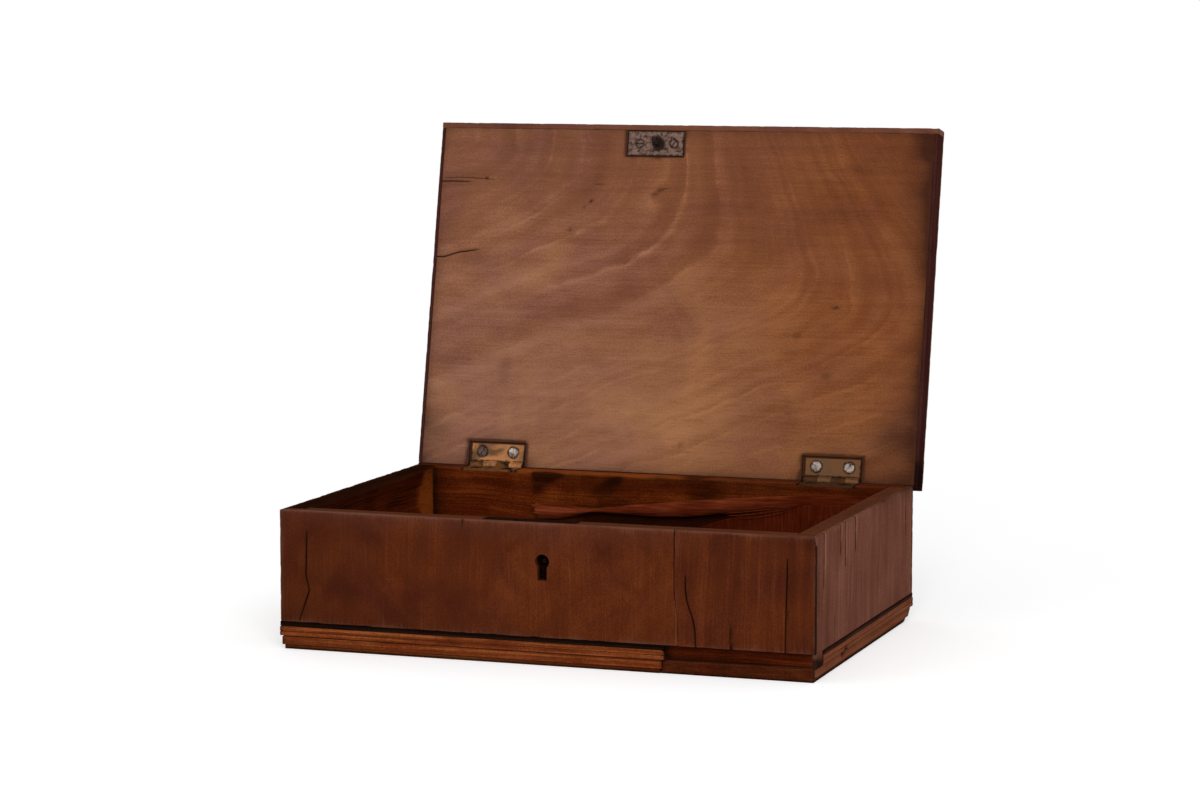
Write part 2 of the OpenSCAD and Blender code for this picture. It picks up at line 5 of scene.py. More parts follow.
import bpy
import numpy as np
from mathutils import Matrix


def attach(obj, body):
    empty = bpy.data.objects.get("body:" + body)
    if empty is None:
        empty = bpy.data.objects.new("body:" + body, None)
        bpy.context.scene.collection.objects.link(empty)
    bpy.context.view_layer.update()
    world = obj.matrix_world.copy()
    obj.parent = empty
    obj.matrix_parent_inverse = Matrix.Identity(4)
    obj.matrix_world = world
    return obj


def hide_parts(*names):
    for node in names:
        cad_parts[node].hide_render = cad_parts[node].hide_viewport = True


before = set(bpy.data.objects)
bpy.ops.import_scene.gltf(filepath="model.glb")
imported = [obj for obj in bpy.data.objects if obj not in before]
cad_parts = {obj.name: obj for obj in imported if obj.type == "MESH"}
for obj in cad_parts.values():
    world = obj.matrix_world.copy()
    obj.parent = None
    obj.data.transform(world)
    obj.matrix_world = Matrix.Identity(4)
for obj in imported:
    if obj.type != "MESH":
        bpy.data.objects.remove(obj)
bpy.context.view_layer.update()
mm = 0.001
print("frame loaded:", len(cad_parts), "nodes")


# Places taken from the frame.

hinge = {  # the lid turns about the pin; screws lie along it and out from it
    "x": 88.5, "pinY": 88.0, "pinZ": 66.15, "opened": 102.0, "barrel": 2.3, "screwAlong": 8.4,
    "screwOut": 7.2,
}
cavity = {"x": 119, "y": 76.5}  # half the width and depth of the inside
base = {"x": 128, "y": 85.5}  # half the width and depth of the boards behind the mouldings
baseWear = {"back": {"at": (72.5, 15.5), "radius": 16}, "front": {"at": (126.3, -81.5), "radius": 4.05}}
linkPlate = {
    "low": (-30.1, -86.3, 60), "high": (0.3, -73, 67.55), "screwX": (-23.4, -5.2), "screwY": -79.65,
}


def swung(points, degrees):
    # Turns points about the hinge pin: y and z rotate, x stays
    angle = math.radians(degrees)
    y, z = points[:, 1] - hinge["pinY"], points[:, 2] - hinge["pinZ"]
    turned = points.copy()
    turned[:, 1] = hinge["pinY"] + y * math.cos(angle) - z * math.sin(angle)
    turned[:, 2] = hinge["pinZ"] + y * math.sin(angle) + z * math.cos(angle)
    return turned


def nodeBox(node, lid=False):
    # Lowest and highest corner of a node in millimetres, a lid node's as it lies closed
    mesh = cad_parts[node].data
    points = np.empty(len(mesh.vertices) * 3)
    mesh.vertices.foreach_get("co", points)
    points = points.reshape(-1, 3) / mm
    if lid:
        points = swung(points, hinge["opened"])
    return points.min(0).round(3), points.max(0).round(3)


# Noise and curves.


def ease(low, high, value):
    # 0 below low, 1 above high, with a smoothstep between
    t = np.clip((np.asarray(value, float) - low) / (high - low), 0, 1)
    return t * t * (3 - 2 * t)


def bumps(points, size, seed=0):
    # Value noise from -1 to 1: a hashed number at each corner of a cubic lattice, blended by smoothsteps
    p = np.asarray(points, float) / size + 311.7
    cell = np.floor(p).astype(np.int64)
    part = p - cell
    part = part * part * (3 - 2 * part)
    total = np.zeros(len(p))
    for corner in range(8):
        step = np.array([corner & 1, corner >> 1 & 1, corner >> 2 & 1])
        key = (cell + step) @ np.array([374761393, 668265263, 2147483647]) + seed * 1442695041
        key = (key ^ (key >> 13)) * 1274126177 & 0xFFFFFFFF
        key = (key ^ (key >> 15)) * 2246822519 & 0xFFFFFFFF
        value = ((key ^ (key >> 16)) & 0xFFFFFF) / 8388607.5 - 1
        total += value * np.prod(np.where(step == 1, part, 1 - part), axis=1)
    return total


def roughness(points, size, seed=0, layers=3):
    # Layers of value noise, each half as large and half as strong as the one before
    total = sum(bumps(points, size / 2**k, seed + 17 * k) / 2**k for k in range(layers))
    return total / (2 - 2 ** (1 - layers))


def spot(a, b, power=2):
    # 1 in the middle of a spot and falling off like a bell; a and b are in spot sizes
    return np.exp(-np.hypot(a, b) ** power)


def filleted(corners, radius, steps=4):
    # Rounds each corner of an outline with a parabola between points set back by the radius
    c = np.asarray(corners, float)
    radius = np.broadcast_to(radius, len(c))[:, None]
    sides = []
    for other in (np.roll(c, 1, 0), np.roll(c, -1, 0)):
        way = other - c
        length = np.linalg.norm(way, axis=1, keepdims=True)
        sides.append(c + way / length * np.minimum(radius, 0.45 * length))
    t = np.linspace(0, 1, steps)[None, :, None]
    a, b = sides[0][:, None], sides[1][:, None]
    return ((1 - t) ** 2 * a + 2 * t * (1 - t) * c[:, None] + t**2 * b).reshape(-1, 2)


# Meshes.


def newObject(name, points, faces):
    # A mesh object from points in millimetres and lists of corner numbers
    mesh = bpy.data.meshes.new(name)
    mesh.from_pydata((np.asarray(points) * mm).tolist(), [], faces)
    mesh.validate()
    made = bpy.data.objects.new(name, mesh)
    bpy.context.scene.collection.objects.link(made)
    return made


def getPoints(made):
    # The points of a mesh in millimetres, one row each
    points = np.empty(len(made.data.vertices) * 3)
    made.data.vertices.foreach_get("co", points)
    return points.reshape(-1, 3) / mm


def setPoints(made, points):
    # Moves the points of a mesh to places in millimetres
    made.data.vertices.foreach_set("co", (points * mm).ravel())
    made.data.update()


def setValue(made, name, values):
    # Puts one number or one vector per point on the mesh
    values = np.asarray(values, np.float32)
    kind, key = ("FLOAT_VECTOR", "vector") if values.ndim == 2 else ("FLOAT", "value")
    layer = made.data.attributes.new(name, kind, "POINT")
    layer.data.foreach_set(key, values.ravel())


def facedOut(points, faces):
    # Turns every face over if the closed shape's signed volume is negative
    centred = points - points.mean(0)
    quads = np.array([f[:4] for f in faces])
    a, b, c, d = (centred[quads[:, k]] for k in range(4))
    volume = (a * (np.cross(b, c) + np.cross(c, d))).sum()
    return [list(f)[::-1] for f in faces] if volume < 0 else [list(f) for f in faces]


def gridLines(low, high, step, arris, extra=()):
    # Lines across a board: crowded at both arrises, even between, with the asked ones put in
    if high - low < 2.6 * arris:
        return low + (high - low) * np.array([0, 0.07, 0.2, 0.5, 0.8, 0.93, 1])
    near = np.array([0, 0.2, 0.5]) * arris
    count = max(1, round((high - low - 2 * arris) / step))
    lines = np.concatenate(
        [low + near, np.linspace(low + arris, high - arris, count + 1), high - near]
    )
    if len(extra):
        extra = np.asarray(extra, float)
        clear = np.abs(lines[:, None] - extra[None]).min(1) > 0.25
        clear |= (lines == low) | (lines == high)
        lines = np.concatenate([lines[clear], extra])
    return np.unique(lines)


def boxSkin(lines):
    # The six faces of a grid of lines along x, y and z, sharing their edge points
    counts = [len(l) for l in lines]
    ids = np.arange(np.prod(counts)).reshape(counts)
    quads = []
    for axis in range(3):
        for end in (0, -1):
            g = np.take(ids, end, axis=axis)
            q = np.stack([g[:-1, :-1], g[1:, :-1], g[1:, 1:], g[:-1, 1:]], -1).reshape(-1, 4)
            outward = (end == -1) != (axis == 1)
            quads.append(q if outward else q[:, ::-1])
    quads = np.concatenate(quads)
    used, quads = np.unique(quads, return_inverse=True)
    where = np.unravel_index(used, counts)
    points = np.stack([lines[k][where[k]] for k in range(3)], 1)
    return points, quads.reshape(-1, 4)


def rounded(points, low, high, radius):
    # Each point is pulled to a ball of its own radius that rolls inside the board's faces
    radius = np.minimum(radius, 0.48 * (high - low).min())[:, None]
    core = np.clip(points, low + radius, high - radius)
    way = points - core
    length = np.linalg.norm(way, axis=1, keepdims=True)
    return np.where(length > 1e-9, core + way * radius / np.maximum(length, 1e-9), points)


def camel(node):
    # A node's name in the script's own spelling
    first, *others = node.split("_")
    return first + "".join(word.title() for word in others)


def axisOf(text):
    # "-y" becomes axis 1 and direction -1
    return "xyz".index(text[-1]), (-1 if text[0] == "-" else 1)


def crackShift(along, path):
    # How far a crack lies across the grain at each place along it
    path = np.array(sorted(path), float)
    return np.interp(along, path[:, 0], path[:, 1])


def fromEnds(along, path):
    # How far a place is from the nearer end of a crack
    ends = [point[0] for point in path]
    return np.minimum(along - min(ends), max(ends) - along)


def split(half, depth, reach, taper, *path, jag=0.22):
    # A crack: half its width, its depth, how far the wood beside it bends, how long its ends
    # taper, and its path as (along the grain, across it)
    return {"half": half, "depth": depth, "reach": reach, "taper": taper, "path": list(path), "jag": jag}


def makeBoard(name, low, high, shape):
    # A board with arrises worn to a changing radius, a face that waves a little,
    # and cracks: grid lines that bend along each crack's path, the middle one sunk
    show, sign = axisOf(shape["show"])
    grain = axisOf(shape["grain"])[0]
    across = 3 - show - grain
    cracks = shape.get("cracks", [])
    arris = shape.get("arris", 1.6)
    extra = [[], [], []]
    for crack in cracks:
        at = np.mean([p[1] for p in crack["path"]])
        crack["at"] = at
        extra[across] += [at + k * crack["half"] for k in (-1.6, -1, 0, 1, 1.6)]
        extra[across] += [at + k * crack["reach"] * s for k in (0.45, 0.9) for s in (-1, 1)]
    steps = shape.get("steps", (3, 3, 3))
    lines = [gridLines(low[k], high[k], steps[k], arris, extra[k]) for k in range(3)]
    grid, quads = boxSkin(lines)
    face = low[show] if sign < 0 else high[show]
    back = high[show] if sign < 0 else low[show]
    front = (grid[:, show] - back) / (face - back)
    seed = shape.get("seed", 1)
    radius = shape["inner"] + (shape["outer"] - shape["inner"]) * ease(0, 1, front)
    radius = radius * (1 + 0.45 * bumps(grid, 22, seed))
    bites = np.clip(roughness(grid, 9, seed + 3) - 0.3, 0, 1) * shape.get("chips", 1)
    points = rounded(grid, low, high, np.clip(radius + bites, 0.04, arris * 0.95))
    gaps = np.minimum(grid - low, high - grid)
    inward = np.where(grid - low < high - grid, 1, -1)
    small = 0.5 * np.clip(bumps(grid, 1.7, seed + 13) - 0.3, 0, 1)
    bite = np.clip(roughness(grid, 4, seed + 11, 2) - 0.1, 0, 1) + small
    beside = ease(0.3, 0.9, front) * np.exp(-np.sort(gaps, axis=1)[:, 1] / 0.7)
    bite = bite * shape.get("ragged", 0) * beside
    points = points + inward * np.exp(-gaps / 0.7) * bite[:, None]
    wave = shape.get("wave", 0.1) * (0.5 + 0.5 * roughness(grid, 55, seed + 5))
    onFace = front > 0.999
    points[:, show] -= sign * wave * onFace
    for crack in cracks:
        offset = np.abs(grid[:, across] - crack["at"])
        shift = crackShift(grid[:, grain], crack["path"]) - crack["at"]
        shift = shift + crack["jag"] * bumps(grid * (grain == np.arange(3)), 2.6, seed)
        points[:, across] += shift * (1 - ease(crack["half"] * 1.6, crack["reach"], offset))
        near = fromEnds(grid[:, grain], crack["path"])
        deep = crack["depth"] * ease(0, crack["taper"], near) * (0.85 + 0.5 * bumps(grid, 6, seed + 9))
        sunk = np.interp(offset, [0, crack["half"], crack["half"] * 1.6], [1, 0.12, 0])
        points[:, show] -= sign * deep * sunk * onFace
    for bend in shape.get("bends", []):
        shift = crackShift(grid[:, grain], bend["path"]) - bend["at"]
        offset = np.abs(grid[:, across] - bend["at"])
        points[:, across] += shift * (1 - ease(0, bend["reach"], offset))
    return newObject(name, points, quads.tolist())


def prism(axis, outline, low, high):
    # A closed prism: an outline in the next two axes carried along one axis
    outline = np.asarray(outline, float)
    x, y = outline.T
    if (x * np.roll(y, -1) - y * np.roll(x, -1)).sum() < 0:
        outline = outline[::-1]
    n = len(outline)
    points = np.zeros((2 * n, 3))
    points[:n, axis], points[n:, axis] = low, high
    points[:, (axis + 1) % 3] = np.tile(outline[:, 0], 2)
    points[:, (axis + 2) % 3] = np.tile(outline[:, 1], 2)
    i = np.arange(n)
    j = (i + 1) % n
    sides = np.stack([i, j, j + n, i + n], 1).tolist()
    return points, sides + [i[::-1].tolist(), (i + n).tolist()]


def block(low, high):
    # A box between two corners, as a prism along x
    outline = [(low[1], low[2]), (high[1], low[2]), (high[1], high[2]), (low[1], high[2])]
    return prism(0, outline, low[0], high[0])


def disc(axis, centre, radius, low, high, count=28):
    # A cylinder: evenly turned points on a circle, carried along one axis
    turn = np.linspace(0, 2 * np.pi, count, endpoint=False)
    ring = np.stack([centre[0] + radius * np.cos(turn), centre[1] + radius * np.sin(turn)], 1)
    return prism(axis, ring, low, high)


def joined(shapes):
    # Several shapes as one list of points and faces, with the corner numbers shifted
    points, faces, start = [], [], 0
    for p, f in shapes:
        points.append(p)
        faces += [[k + start for k in face] for face in f]
        start += len(p)
    return np.concatenate(points), faces


def cutAway(made, *groups):
    # Each group of separate shapes is cut out of the piece in one go
    for shapes in groups:
        cutter = newObject("cutter", *joined(shapes))
        cut = made.modifiers.new("cut", "BOOLEAN")
        cut.operation, cut.solver, cut.object = "DIFFERENCE", "EXACT", cutter
        settled = made.evaluated_get(bpy.context.evaluated_depsgraph_get())
        mesh = bpy.data.meshes.new_from_object(settled)
        made.modifiers.clear()
        old, made.data = made.data, mesh
        mesh.name = made.name
        bpy.data.meshes.remove(old)
        bpy.data.objects.remove(cutter)


def dressWood(made, low, high, shape, stain=None, figure=None, **extras):
    # What the wood finishes read: place along, across and into the grain, wear that fades
    # away from the arrises, dirt in cracks, dirt and painted shade where stain says, and the growth figure
    points = getPoints(made)
    show, sign = axisOf(shape["show"])
    grain = axisOf(shape["grain"])[0]
    across = 3 - show - grain
    seed = shape.get("seed", 1)
    lay = points[:, [grain, across, show]].copy()
    lay[:, 1] += 2.5 * bumps(points, 60, seed + 40) + 0.5 * bumps(points, 16, seed + 41)
    setValue(made, "grain", lay * mm + 0.37 * seed)
    gaps = np.sort(np.minimum(points - low, high - points), axis=1)
    arris = np.maximum(gaps[:, 1], 0)
    patchy = 0.55 + 0.6 * roughness(points, 14, seed + 50)
    worn = np.exp(-arris / shape.get("wornWidth", 1.2)) * patchy
    dirt = np.zeros(len(points))
    for crack in shape.get("cracks", []):
        beside = np.abs(points[:, across] - crackShift(points[:, grain], crack["path"]))
        near = fromEnds(points[:, grain], crack["path"])
        line = np.exp(-((beside / (crack["half"] * 1.3)) ** 2)) * ease(-1, 3, near)
        dirt = np.maximum(dirt, line)
        worn = worn * (1 - line)
    outline = np.exp(-arris / 0.4) * (0.7 + 0.4 * roughness(points, 8, seed + 51))
    dirt = np.maximum(dirt, shape.get("outline", 0) * outline)
    if stain is not None:
        dirt = np.maximum(dirt, stain(points))
    setValue(made, "worn", np.clip(worn, 0, 1))
    setValue(made, "dirt", np.clip(dirt, 0, 1))
    setValue(made, "figure", figure(points) if figure is not None else points[:, across] / 14)
    for name, rule in extras.items():
        setValue(made, name, rule(points))


def finishPiece(made, finish, body, slot, *nodes, smooth=38):
    # Material, shading, body and the frame nodes that the piece stands for; slot is not used
    made.data.materials.clear()
    made.data.materials.append(finish)
    made.data.shade_smooth()
    made.data.set_sharp_from_angle(angle=math.radians(smooth))
    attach(made, body)
    if nodes:
        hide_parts(*nodes)
    return made


# Finishes.


def tint(red, green, blue):
    # An sRGB colour from 0 to 255 as the linear colour that a shader takes
    c = np.array([red, green, blue]) / 255
    linear = np.where(c <= 0.04045, c / 12.92, ((c + 0.055) / 1.055) ** 2.4)
    return (*linear.tolist(), 1.0)


def startFinish(name):
    # A new material with its node tree and its shader
    finish = bpy.data.materials.new(name)
    finish.use_nodes = True
    tree = finish.node_tree
    return finish, tree, tree.nodes["Principled BSDF"]


def put(tree, kind, inputs=None, **settings):
    # Adds a node, sets it, and links or fills its sockets
    node = tree.nodes.new("ShaderNode" + kind)
    for key, value in settings.items():
        setattr(node, key, value)
    for socket, value in (inputs or {}).items():
        if isinstance(value, bpy.types.NodeSocket):
            tree.links.new(value, node.inputs[socket])
        else:
            node.inputs[socket].default_value = value
    return node


def calc(tree, operation, a, b=0.5, clamp=False):
    # One step of arithmetic in the node tree
    node = put(tree, "Math", {0: a, 1: b}, operation=operation, use_clamp=clamp)
    return node.outputs[0]


def blendColour(tree, share, a, b, mode="MIX"):
    # Colour a going over to colour b by a share from 0 to 1
    node = put(tree, "Mix", {0: share, 6: a, 7: b}, data_type="RGBA", blend_type=mode)
    return node.outputs[2]


def noise(tree, vector, scale, detail=3.0, distortion=0.0, stretch=None):
    # Noise round 0.5, on the place stretched along each axis if asked
    if stretch is not None:
        by = put(tree, "VectorMath", {0: vector, 1: stretch}, operation="MULTIPLY")
        vector = by.outputs[0]
    wanted = {"Vector": vector, "Scale": scale, "Detail": detail, "Distortion": distortion}
    return put(tree, "TexNoise", wanted).outputs["Fac"]


def ramp(tree, share, stops, easing="LINEAR"):
    # A colour read from stops along 0 to 1
    node = put(tree, "ValToRGB", {0: share})
    node.color_ramp.interpolation = easing
    while len(node.color_ramp.elements) < len(stops):
        node.color_ramp.elements.new(0.5)
    for element, (place, colour) in zip(node.color_ramp.elements, stops):
        element.position = place
        element.color = colour if len(colour) == 4 else (*colour, 1)
    return node.outputs[0]


def grey(value):
    # A plain grey for a ramp that carries a number
    return (value, value, value, 1)


plainRing = [(0, grey(0.3)), (0.45, grey(0.45)), (0.8, grey(0.2)), (1, grey(0.3))]


def spread(tree, value, low, high, start=0.0, end=1.0):
    # Takes low..high to start..end in a straight line, and holds it there outside
    wanted = {"Value": value, 1: low, 2: high, 3: start, 4: end}
    return put(tree, "MapRange", wanted).outputs[0]


def attribute(tree, name, vector=False):
    # A number or vector written on the mesh
    node = put(tree, "Attribute", attribute_name=name)
    return node.outputs["Vector" if vector else "Fac"]


def weighed(tree, parts, start=0.5):
    # Adds noises round 0.5 to a start value, each with its own weight
    total = start
    for part, weight in parts:
        total = calc(tree, "ADD", calc(tree, "MULTIPLY", calc(tree, "SUBTRACT", part), weight), total)
    return total


def growthLines(tree, look, cloud, streak):
    # Thin pale lines where the figure passes whole numbers, stronger in some places than in
    # others, and uneven bands between them from noise along the figure alone
    figure = weighed(tree, [(cloud, look.get("wander", 0.3))], attribute(tree, "figure"))
    phase = calc(tree, "FRACT", figure, 0)
    line = ramp(tree, phase, look.get("ringShape", plainRing))
    place = put(tree, "CombineXYZ", {0: attribute(tree, "figure")}).outputs[0]
    bands = noise(tree, place, look.get("bandSize", 1.7), 3)
    broken = spread(tree, streak, 0.3, 0.7, 0.4, 1.4)
    strength = calc(tree, "MULTIPLY", attribute(tree, "lineStrength"), broken)
    line = calc(tree, "MULTIPLY", calc(tree, "SUBTRACT", line, 0.3), strength)
    return calc(tree, "MULTIPLY", line, look["rings"]), bands


def woodFinish(name, look):
    # Fine fibres, broad streaks, short pores and grit are noise, most of it stretched along the
    # grain. Growth lines follow the figure, cloudy patches turn cooler, and fading and painted
    # sheen, wear, and dirt and painted shade lie over them.
    finish, tree, shader = startFinish(name)
    grain = attribute(tree, "grain", vector=True)
    fibre = noise(tree, grain, 1, 4, 0.15, stretch=look.get("fibreSize", (30, 1500, 1500)))
    streak = noise(tree, grain, 1, 3, 0.4, stretch=look.get("streakSize", (6, 190, 190)))
    cloud = noise(tree, grain, look.get("cloudSize", 34), 4, 0.8)
    grit = noise(tree, grain, 1100, 2)
    pore = noise(tree, grain, 1, 2, 0, stretch=(150, 3800, 3800))
    pits = spread(tree, pore, 0.58, 0.72)
    line, bands = growthLines(tree, look, cloud, streak)
    parts = {"fibre": fibre, "streak": streak, "cloud": cloud, "grit": grit, "bands": bands}
    value = weighed(tree, [(part, look[key]) for key, part in parts.items()])
    value = calc(tree, "ADD", calc(tree, "ADD", value, line), attribute(tree, "tone"))
    colour = ramp(tree, value, [(0.1, look["dark"]), (0.5, look["mid"]), (0.9, look["light"])])
    chill = noise(tree, grain, look.get("coolSize", 22), 3, 1.2)
    chill = weighed(tree, [(chill, 1.6), (bands, 0.8), (fibre, 0.5)], attribute(tree, "cool"))
    chill = spread(tree, chill, -0.12, 0.3, 0, look["cooling"])
    colour = blendColour(tree, chill, colour, look["cool"], "MULTIPLY")
    # fading, and on the front veneers and the wall rims a painted sheen
    share = calc(tree, "MULTIPLY", attribute(tree, "fade"), 1.0, clamp=True)
    colour = blendColour(tree, share, colour, look["faded"], look.get("fadeMode", "MULTIPLY"))
    colour = blendColour(tree, calc(tree, "MULTIPLY", pits, look["pits"]), colour, look["dark"])
    rubbed = weighed(tree, [(fibre, 1), (cloud, 0.6)], attribute(tree, "worn"))
    rubbed = spread(tree, rubbed, 0.12, 0.75, 0, look["rubbing"])
    colour = blendColour(tree, rubbed, colour, look["rubbed"])
    # dirt, and painted shade in corners, gaps and under overhangs, share one attribute and colour
    grime = weighed(tree, [(cloud, 0.5), (fibre, 0.4)], attribute(tree, "dirt"))
    grime = spread(tree, grime, 0.06, 0.75, 0, look.get("grime", 0.85))
    colour = blendColour(tree, grime, colour, look["dirt"])
    tree.links.new(colour, shader.inputs["Base Color"])
    sheen = spread(tree, cloud, 0.3, 0.7, look["rough"] - 0.07, look["rough"] + 0.07)
    sheen = calc(tree, "ADD", sheen, calc(tree, "MULTIPLY", grime, 0.2))
    tree.links.new(sheen, shader.inputs["Roughness"])
    shader.inputs["Specular IOR Level"].default_value = look["gloss"]
    height = weighed(tree, [(fibre, 0.6), (pits, -0.5), (streak, 0.5), (grit, 0.25)])
    relief = put(tree, "Bump", {"Strength": look.get("relief", 0.5), "Distance": 0.0002, "Height": height})
    tree.links.new(relief.outputs[0], shader.inputs["Normal"])
    return finish


def fromSpot(tree, x, y, x0, y0):
    # Distance of a point (x, y), in metres, from a place in millimetres
    x = calc(tree, "POWER", calc(tree, "SUBTRACT", x, x0 * mm), 2)
    y = calc(tree, "POWER", calc(tree, "SUBTRACT", y, y0 * mm), 2)
    return calc(tree, "SQRT", calc(tree, "ADD", x, y), 0)


def apart(tree, a, b):
    # The size of the difference of two numbers
    return calc(tree, "ABSOLUTE", calc(tree, "SUBTRACT", a, b), 0)


def fromPin(tree, place):
    # x, and the distance from the hinge line, which is the same in every pose of the lid
    parts = put(tree, "SeparateXYZ", {0: place}).outputs
    return parts[0], fromSpot(tree, parts[1], parts[2], hinge["pinY"], hinge["pinZ"])


def blackened(tree, gaps, fuzz, loose, low, high, most):
    # Dark marks where the smallest of some gaps is near 0, with noise that makes its edge uneven
    nearest = gaps[0]
    for gap in gaps[1:]:
        nearest = calc(tree, "MINIMUM", nearest, gap)
    stray = calc(tree, "MULTIPLY", calc(tree, "SUBTRACT", fuzz), loose)
    return spread(tree, calc(tree, "ADD", nearest, stray), low, high, most, 0)


def fromScrew(tree, place):
    # Distances from the middle of the nearer hinge, from the pin and from the nearer screw
    x, out = fromPin(tree, place)
    middle = apart(tree, calc(tree, "ABSOLUTE", x, 0), hinge["x"] * mm)
    return middle, out, fromSpot(tree, middle, out, hinge["screwAlong"], hinge["screwOut"])


def hingeShadeAndDirt(tree, place, fuzz):
    # Painted shade with dirt in a ring round each screw head, along the knuckles and at the ends of the
    # leaves
    middle, out, screw = fromScrew(tree, place)
    ring = apart(tree, screw, 2.95 * mm)
    line = apart(tree, out, 2.6 * mm)
    ends = calc(tree, "SUBTRACT", 14.2 * mm, middle)
    tip = apart(tree, out, 12.2 * mm)
    return blackened(tree, [ring, line, ends, tip], fuzz, 0.0016, 0.0, 0.0006, 0.85)


def screwShadeAndDirt(tree, place, fuzz):
    # Painted shade with dirt round the edge of each screw head
    screw = fromScrew(tree, place)[2]
    edge = calc(tree, "SUBTRACT", 2.75 * mm, screw)
    return blackened(tree, [edge], fuzz, 0.0012, 0.0001, 0.0007, 0.9)


def linkDarkMarks(tree, place, fuzz):
    # A black blob round the staple, rusty rings at the screws and dark edges
    x, out = fromPin(tree, place)
    blob = calc(tree, "SUBTRACT", fromSpot(tree, x, out, -13.2, 167.2), 2.9 * mm)
    rings = [apart(tree, fromSpot(tree, x, out, at, 167.7), 2.1 * mm) for at in linkPlate["screwX"]]
    side = calc(tree, "SUBTRACT", 14.9 * mm, apart(tree, x, -14.9 * mm))
    ends = calc(tree, "SUBTRACT", 6.3 * mm, apart(tree, out, 167.7 * mm))
    return blackened(tree, [blob, side, *rings, ends], fuzz, 0.003, 0.0, 0.0008, 0.92)


def metalFinish(name, look):
    # Rubbed metal with patches of tarnish and rust from two sizes of noise, fine scratches,
    # a colour that may change from the left to the right of the box, and dark marks from a rule,
    # which on the hinges and screws are painted shade with dirt
    finish, tree, shader = startFinish(name)
    place = put(tree, "TexCoord").outputs["Object"]
    patches = noise(tree, place, look["patchSize"], 5, 0.6)
    specks = noise(tree, place, look["patchSize"] * 5, 3, 0.2)
    scratch = noise(tree, place, 1, 2, 0.3, stretch=(300, 2600, 5200))
    along = put(tree, "SeparateXYZ", {0: place}).outputs[0]
    side = spread(tree, along, *look.get("turn", (-0.08, 0.08)))
    bright = blendColour(tree, side, look["left"], look["right"])
    colour = blendColour(tree, spread(tree, patches, 0.42, 0.6), bright, look["tarnish"])
    pitted = calc(tree, "ADD", patches, calc(tree, "MULTIPLY", calc(tree, "SUBTRACT", specks), 0.45))
    rusty = spread(tree, pitted, look["rustFrom"], look["rustFrom"] + 0.08)
    colour = blendColour(tree, rusty, colour, look["rust"])
    if "soot" in look:
        black = look["soot"](tree, place, specks)
        # dark marks: painted shade with dirt in the creases of hinges and screws
        colour = blendColour(tree, black, colour, tint(24, 14, 9))
        rusty = calc(tree, "MAXIMUM", rusty, black)
    tree.links.new(colour, shader.inputs["Base Color"])
    metallic = spread(tree, rusty, 0, 1, look["metal"], look["metal"] * 0.15)
    tree.links.new(metallic, shader.inputs["Metallic"])
    scratched = spread(tree, scratch, 0.3, 0.7, look["rough"] - 0.08, look["rough"] + 0.08)
    dull = calc(tree, "ADD", scratched, calc(tree, "MULTIPLY", rusty, 0.3), clamp=True)
    tree.links.new(dull, shader.inputs["Roughness"])
    raised = calc(tree, "ADD", specks, calc(tree, "MULTIPLY", rusty, 1.2))
    height = calc(tree, "ADD", calc(tree, "MULTIPLY", scratch, 0.3), raised)
    shader.inputs["Specular IOR Level"].default_value = look.get("gloss", 0.3)
    relief = put(tree, "Bump", {"Strength": look.get("relief", 0.5), "Distance": 0.00012, "Height": height})
    tree.links.new(relief.outputs[0], shader.inputs["Normal"])
    return finish


# The walls and the bottom.

wallLook = {
    "dark": tint(40, 14, 4), "mid": tint(98, 38, 11), "light": tint(150, 74, 26),
    "cool": tint(214, 176, 190), "cooling": 0.5, "faded": tint(97, 61, 44), "fadeMode": "MIX",
    "rubbed": tint(112, 66, 42), "dirt": tint(20, 9, 4), "fibre": 0.9, "streak": 0.5, "cloud": 0.7,
    "grit": 0.5, "bands": 0.15, "rings": 0.0, "pits": 0.6, "rubbing": 0.35, "rough": 0.62, "gloss": 0.0,
    "relief": 0.7,
}
wallWood = woodFinish("wallWood", wallLook)
bottomWood = woodFinish(
    "bottomWood",
    {**wallLook, "dark": tint(36, 15, 7), "mid": tint(72, 31, 14), "light": tint(104, 50, 24)},
)

wallShape = {
    "grain": "x", "outer": 0.7, "inner": 0.12, "arris": 1.6, "wave": 0.15, "chips": 1.2,
    "wornWidth": 1.6, "ragged": 0.5,
}
lock = {
    "left": -30, "right": 16, "low": 35, "caseLeft": -24, "caseRight": 11, "caseLow": 37,
    "inFront": -84.6, "plateBack": -77.7,
}
keyhole = {"x": 0.5, "z": 48.2, "radius": 3.45, "slot": 4.7, "drop": 8.7}


def keyOutline():
    # A round hole whose lower part runs into a straight slot, as (z, x)
    half = keyhole["slot"] / 2
    start = math.asin(half / keyhole["radius"])
    turn = np.linspace(start, 2 * np.pi - start, 30) - np.pi
    up = keyhole["z"] + keyhole["radius"] * np.cos(turn)
    ring = np.stack([up, keyhole["x"] - keyhole["radius"] * np.sin(turn)], 1)
    low = keyhole["z"] - keyhole["drop"]
    foot = filleted([(low, ring[-1, 1]), (low, ring[0, 1])], 0.01, 1)
    return np.concatenate([ring, foot])


def hingeMortise(x, lid):
    # The room for a leaf and its barrel, as (y, z) carried along x
    y, z, r = hinge["pinY"], hinge["pinZ"], hinge["barrel"]
    turn = np.radians(np.linspace(155, 90, 7) if lid else np.linspace(205, 270, 7))
    arc = np.stack([y + r * np.cos(turn), z + r * np.sin(turn)], 1)
    if lid:
        side = [(y - 12.4, z - 3), (y - 12.4, z + 1.9), (arc[0, 0], z + 1.9)]
        outline = np.concatenate([side, arc, [(y + 5, z + r), (y + 5, z - 3)]])
        return prism(0, outline, x - 15.9, x + 15.0)
    side = [(y - 13, z + 3), (y - 13, z - 1.3), (arc[0, 0], z - 1.3)]
    outline = np.concatenate([side, arc, [(y + 5, z - r), (y + 5, z + 3)]])
    return prism(0, outline, x - 15.2, x + 14.8)


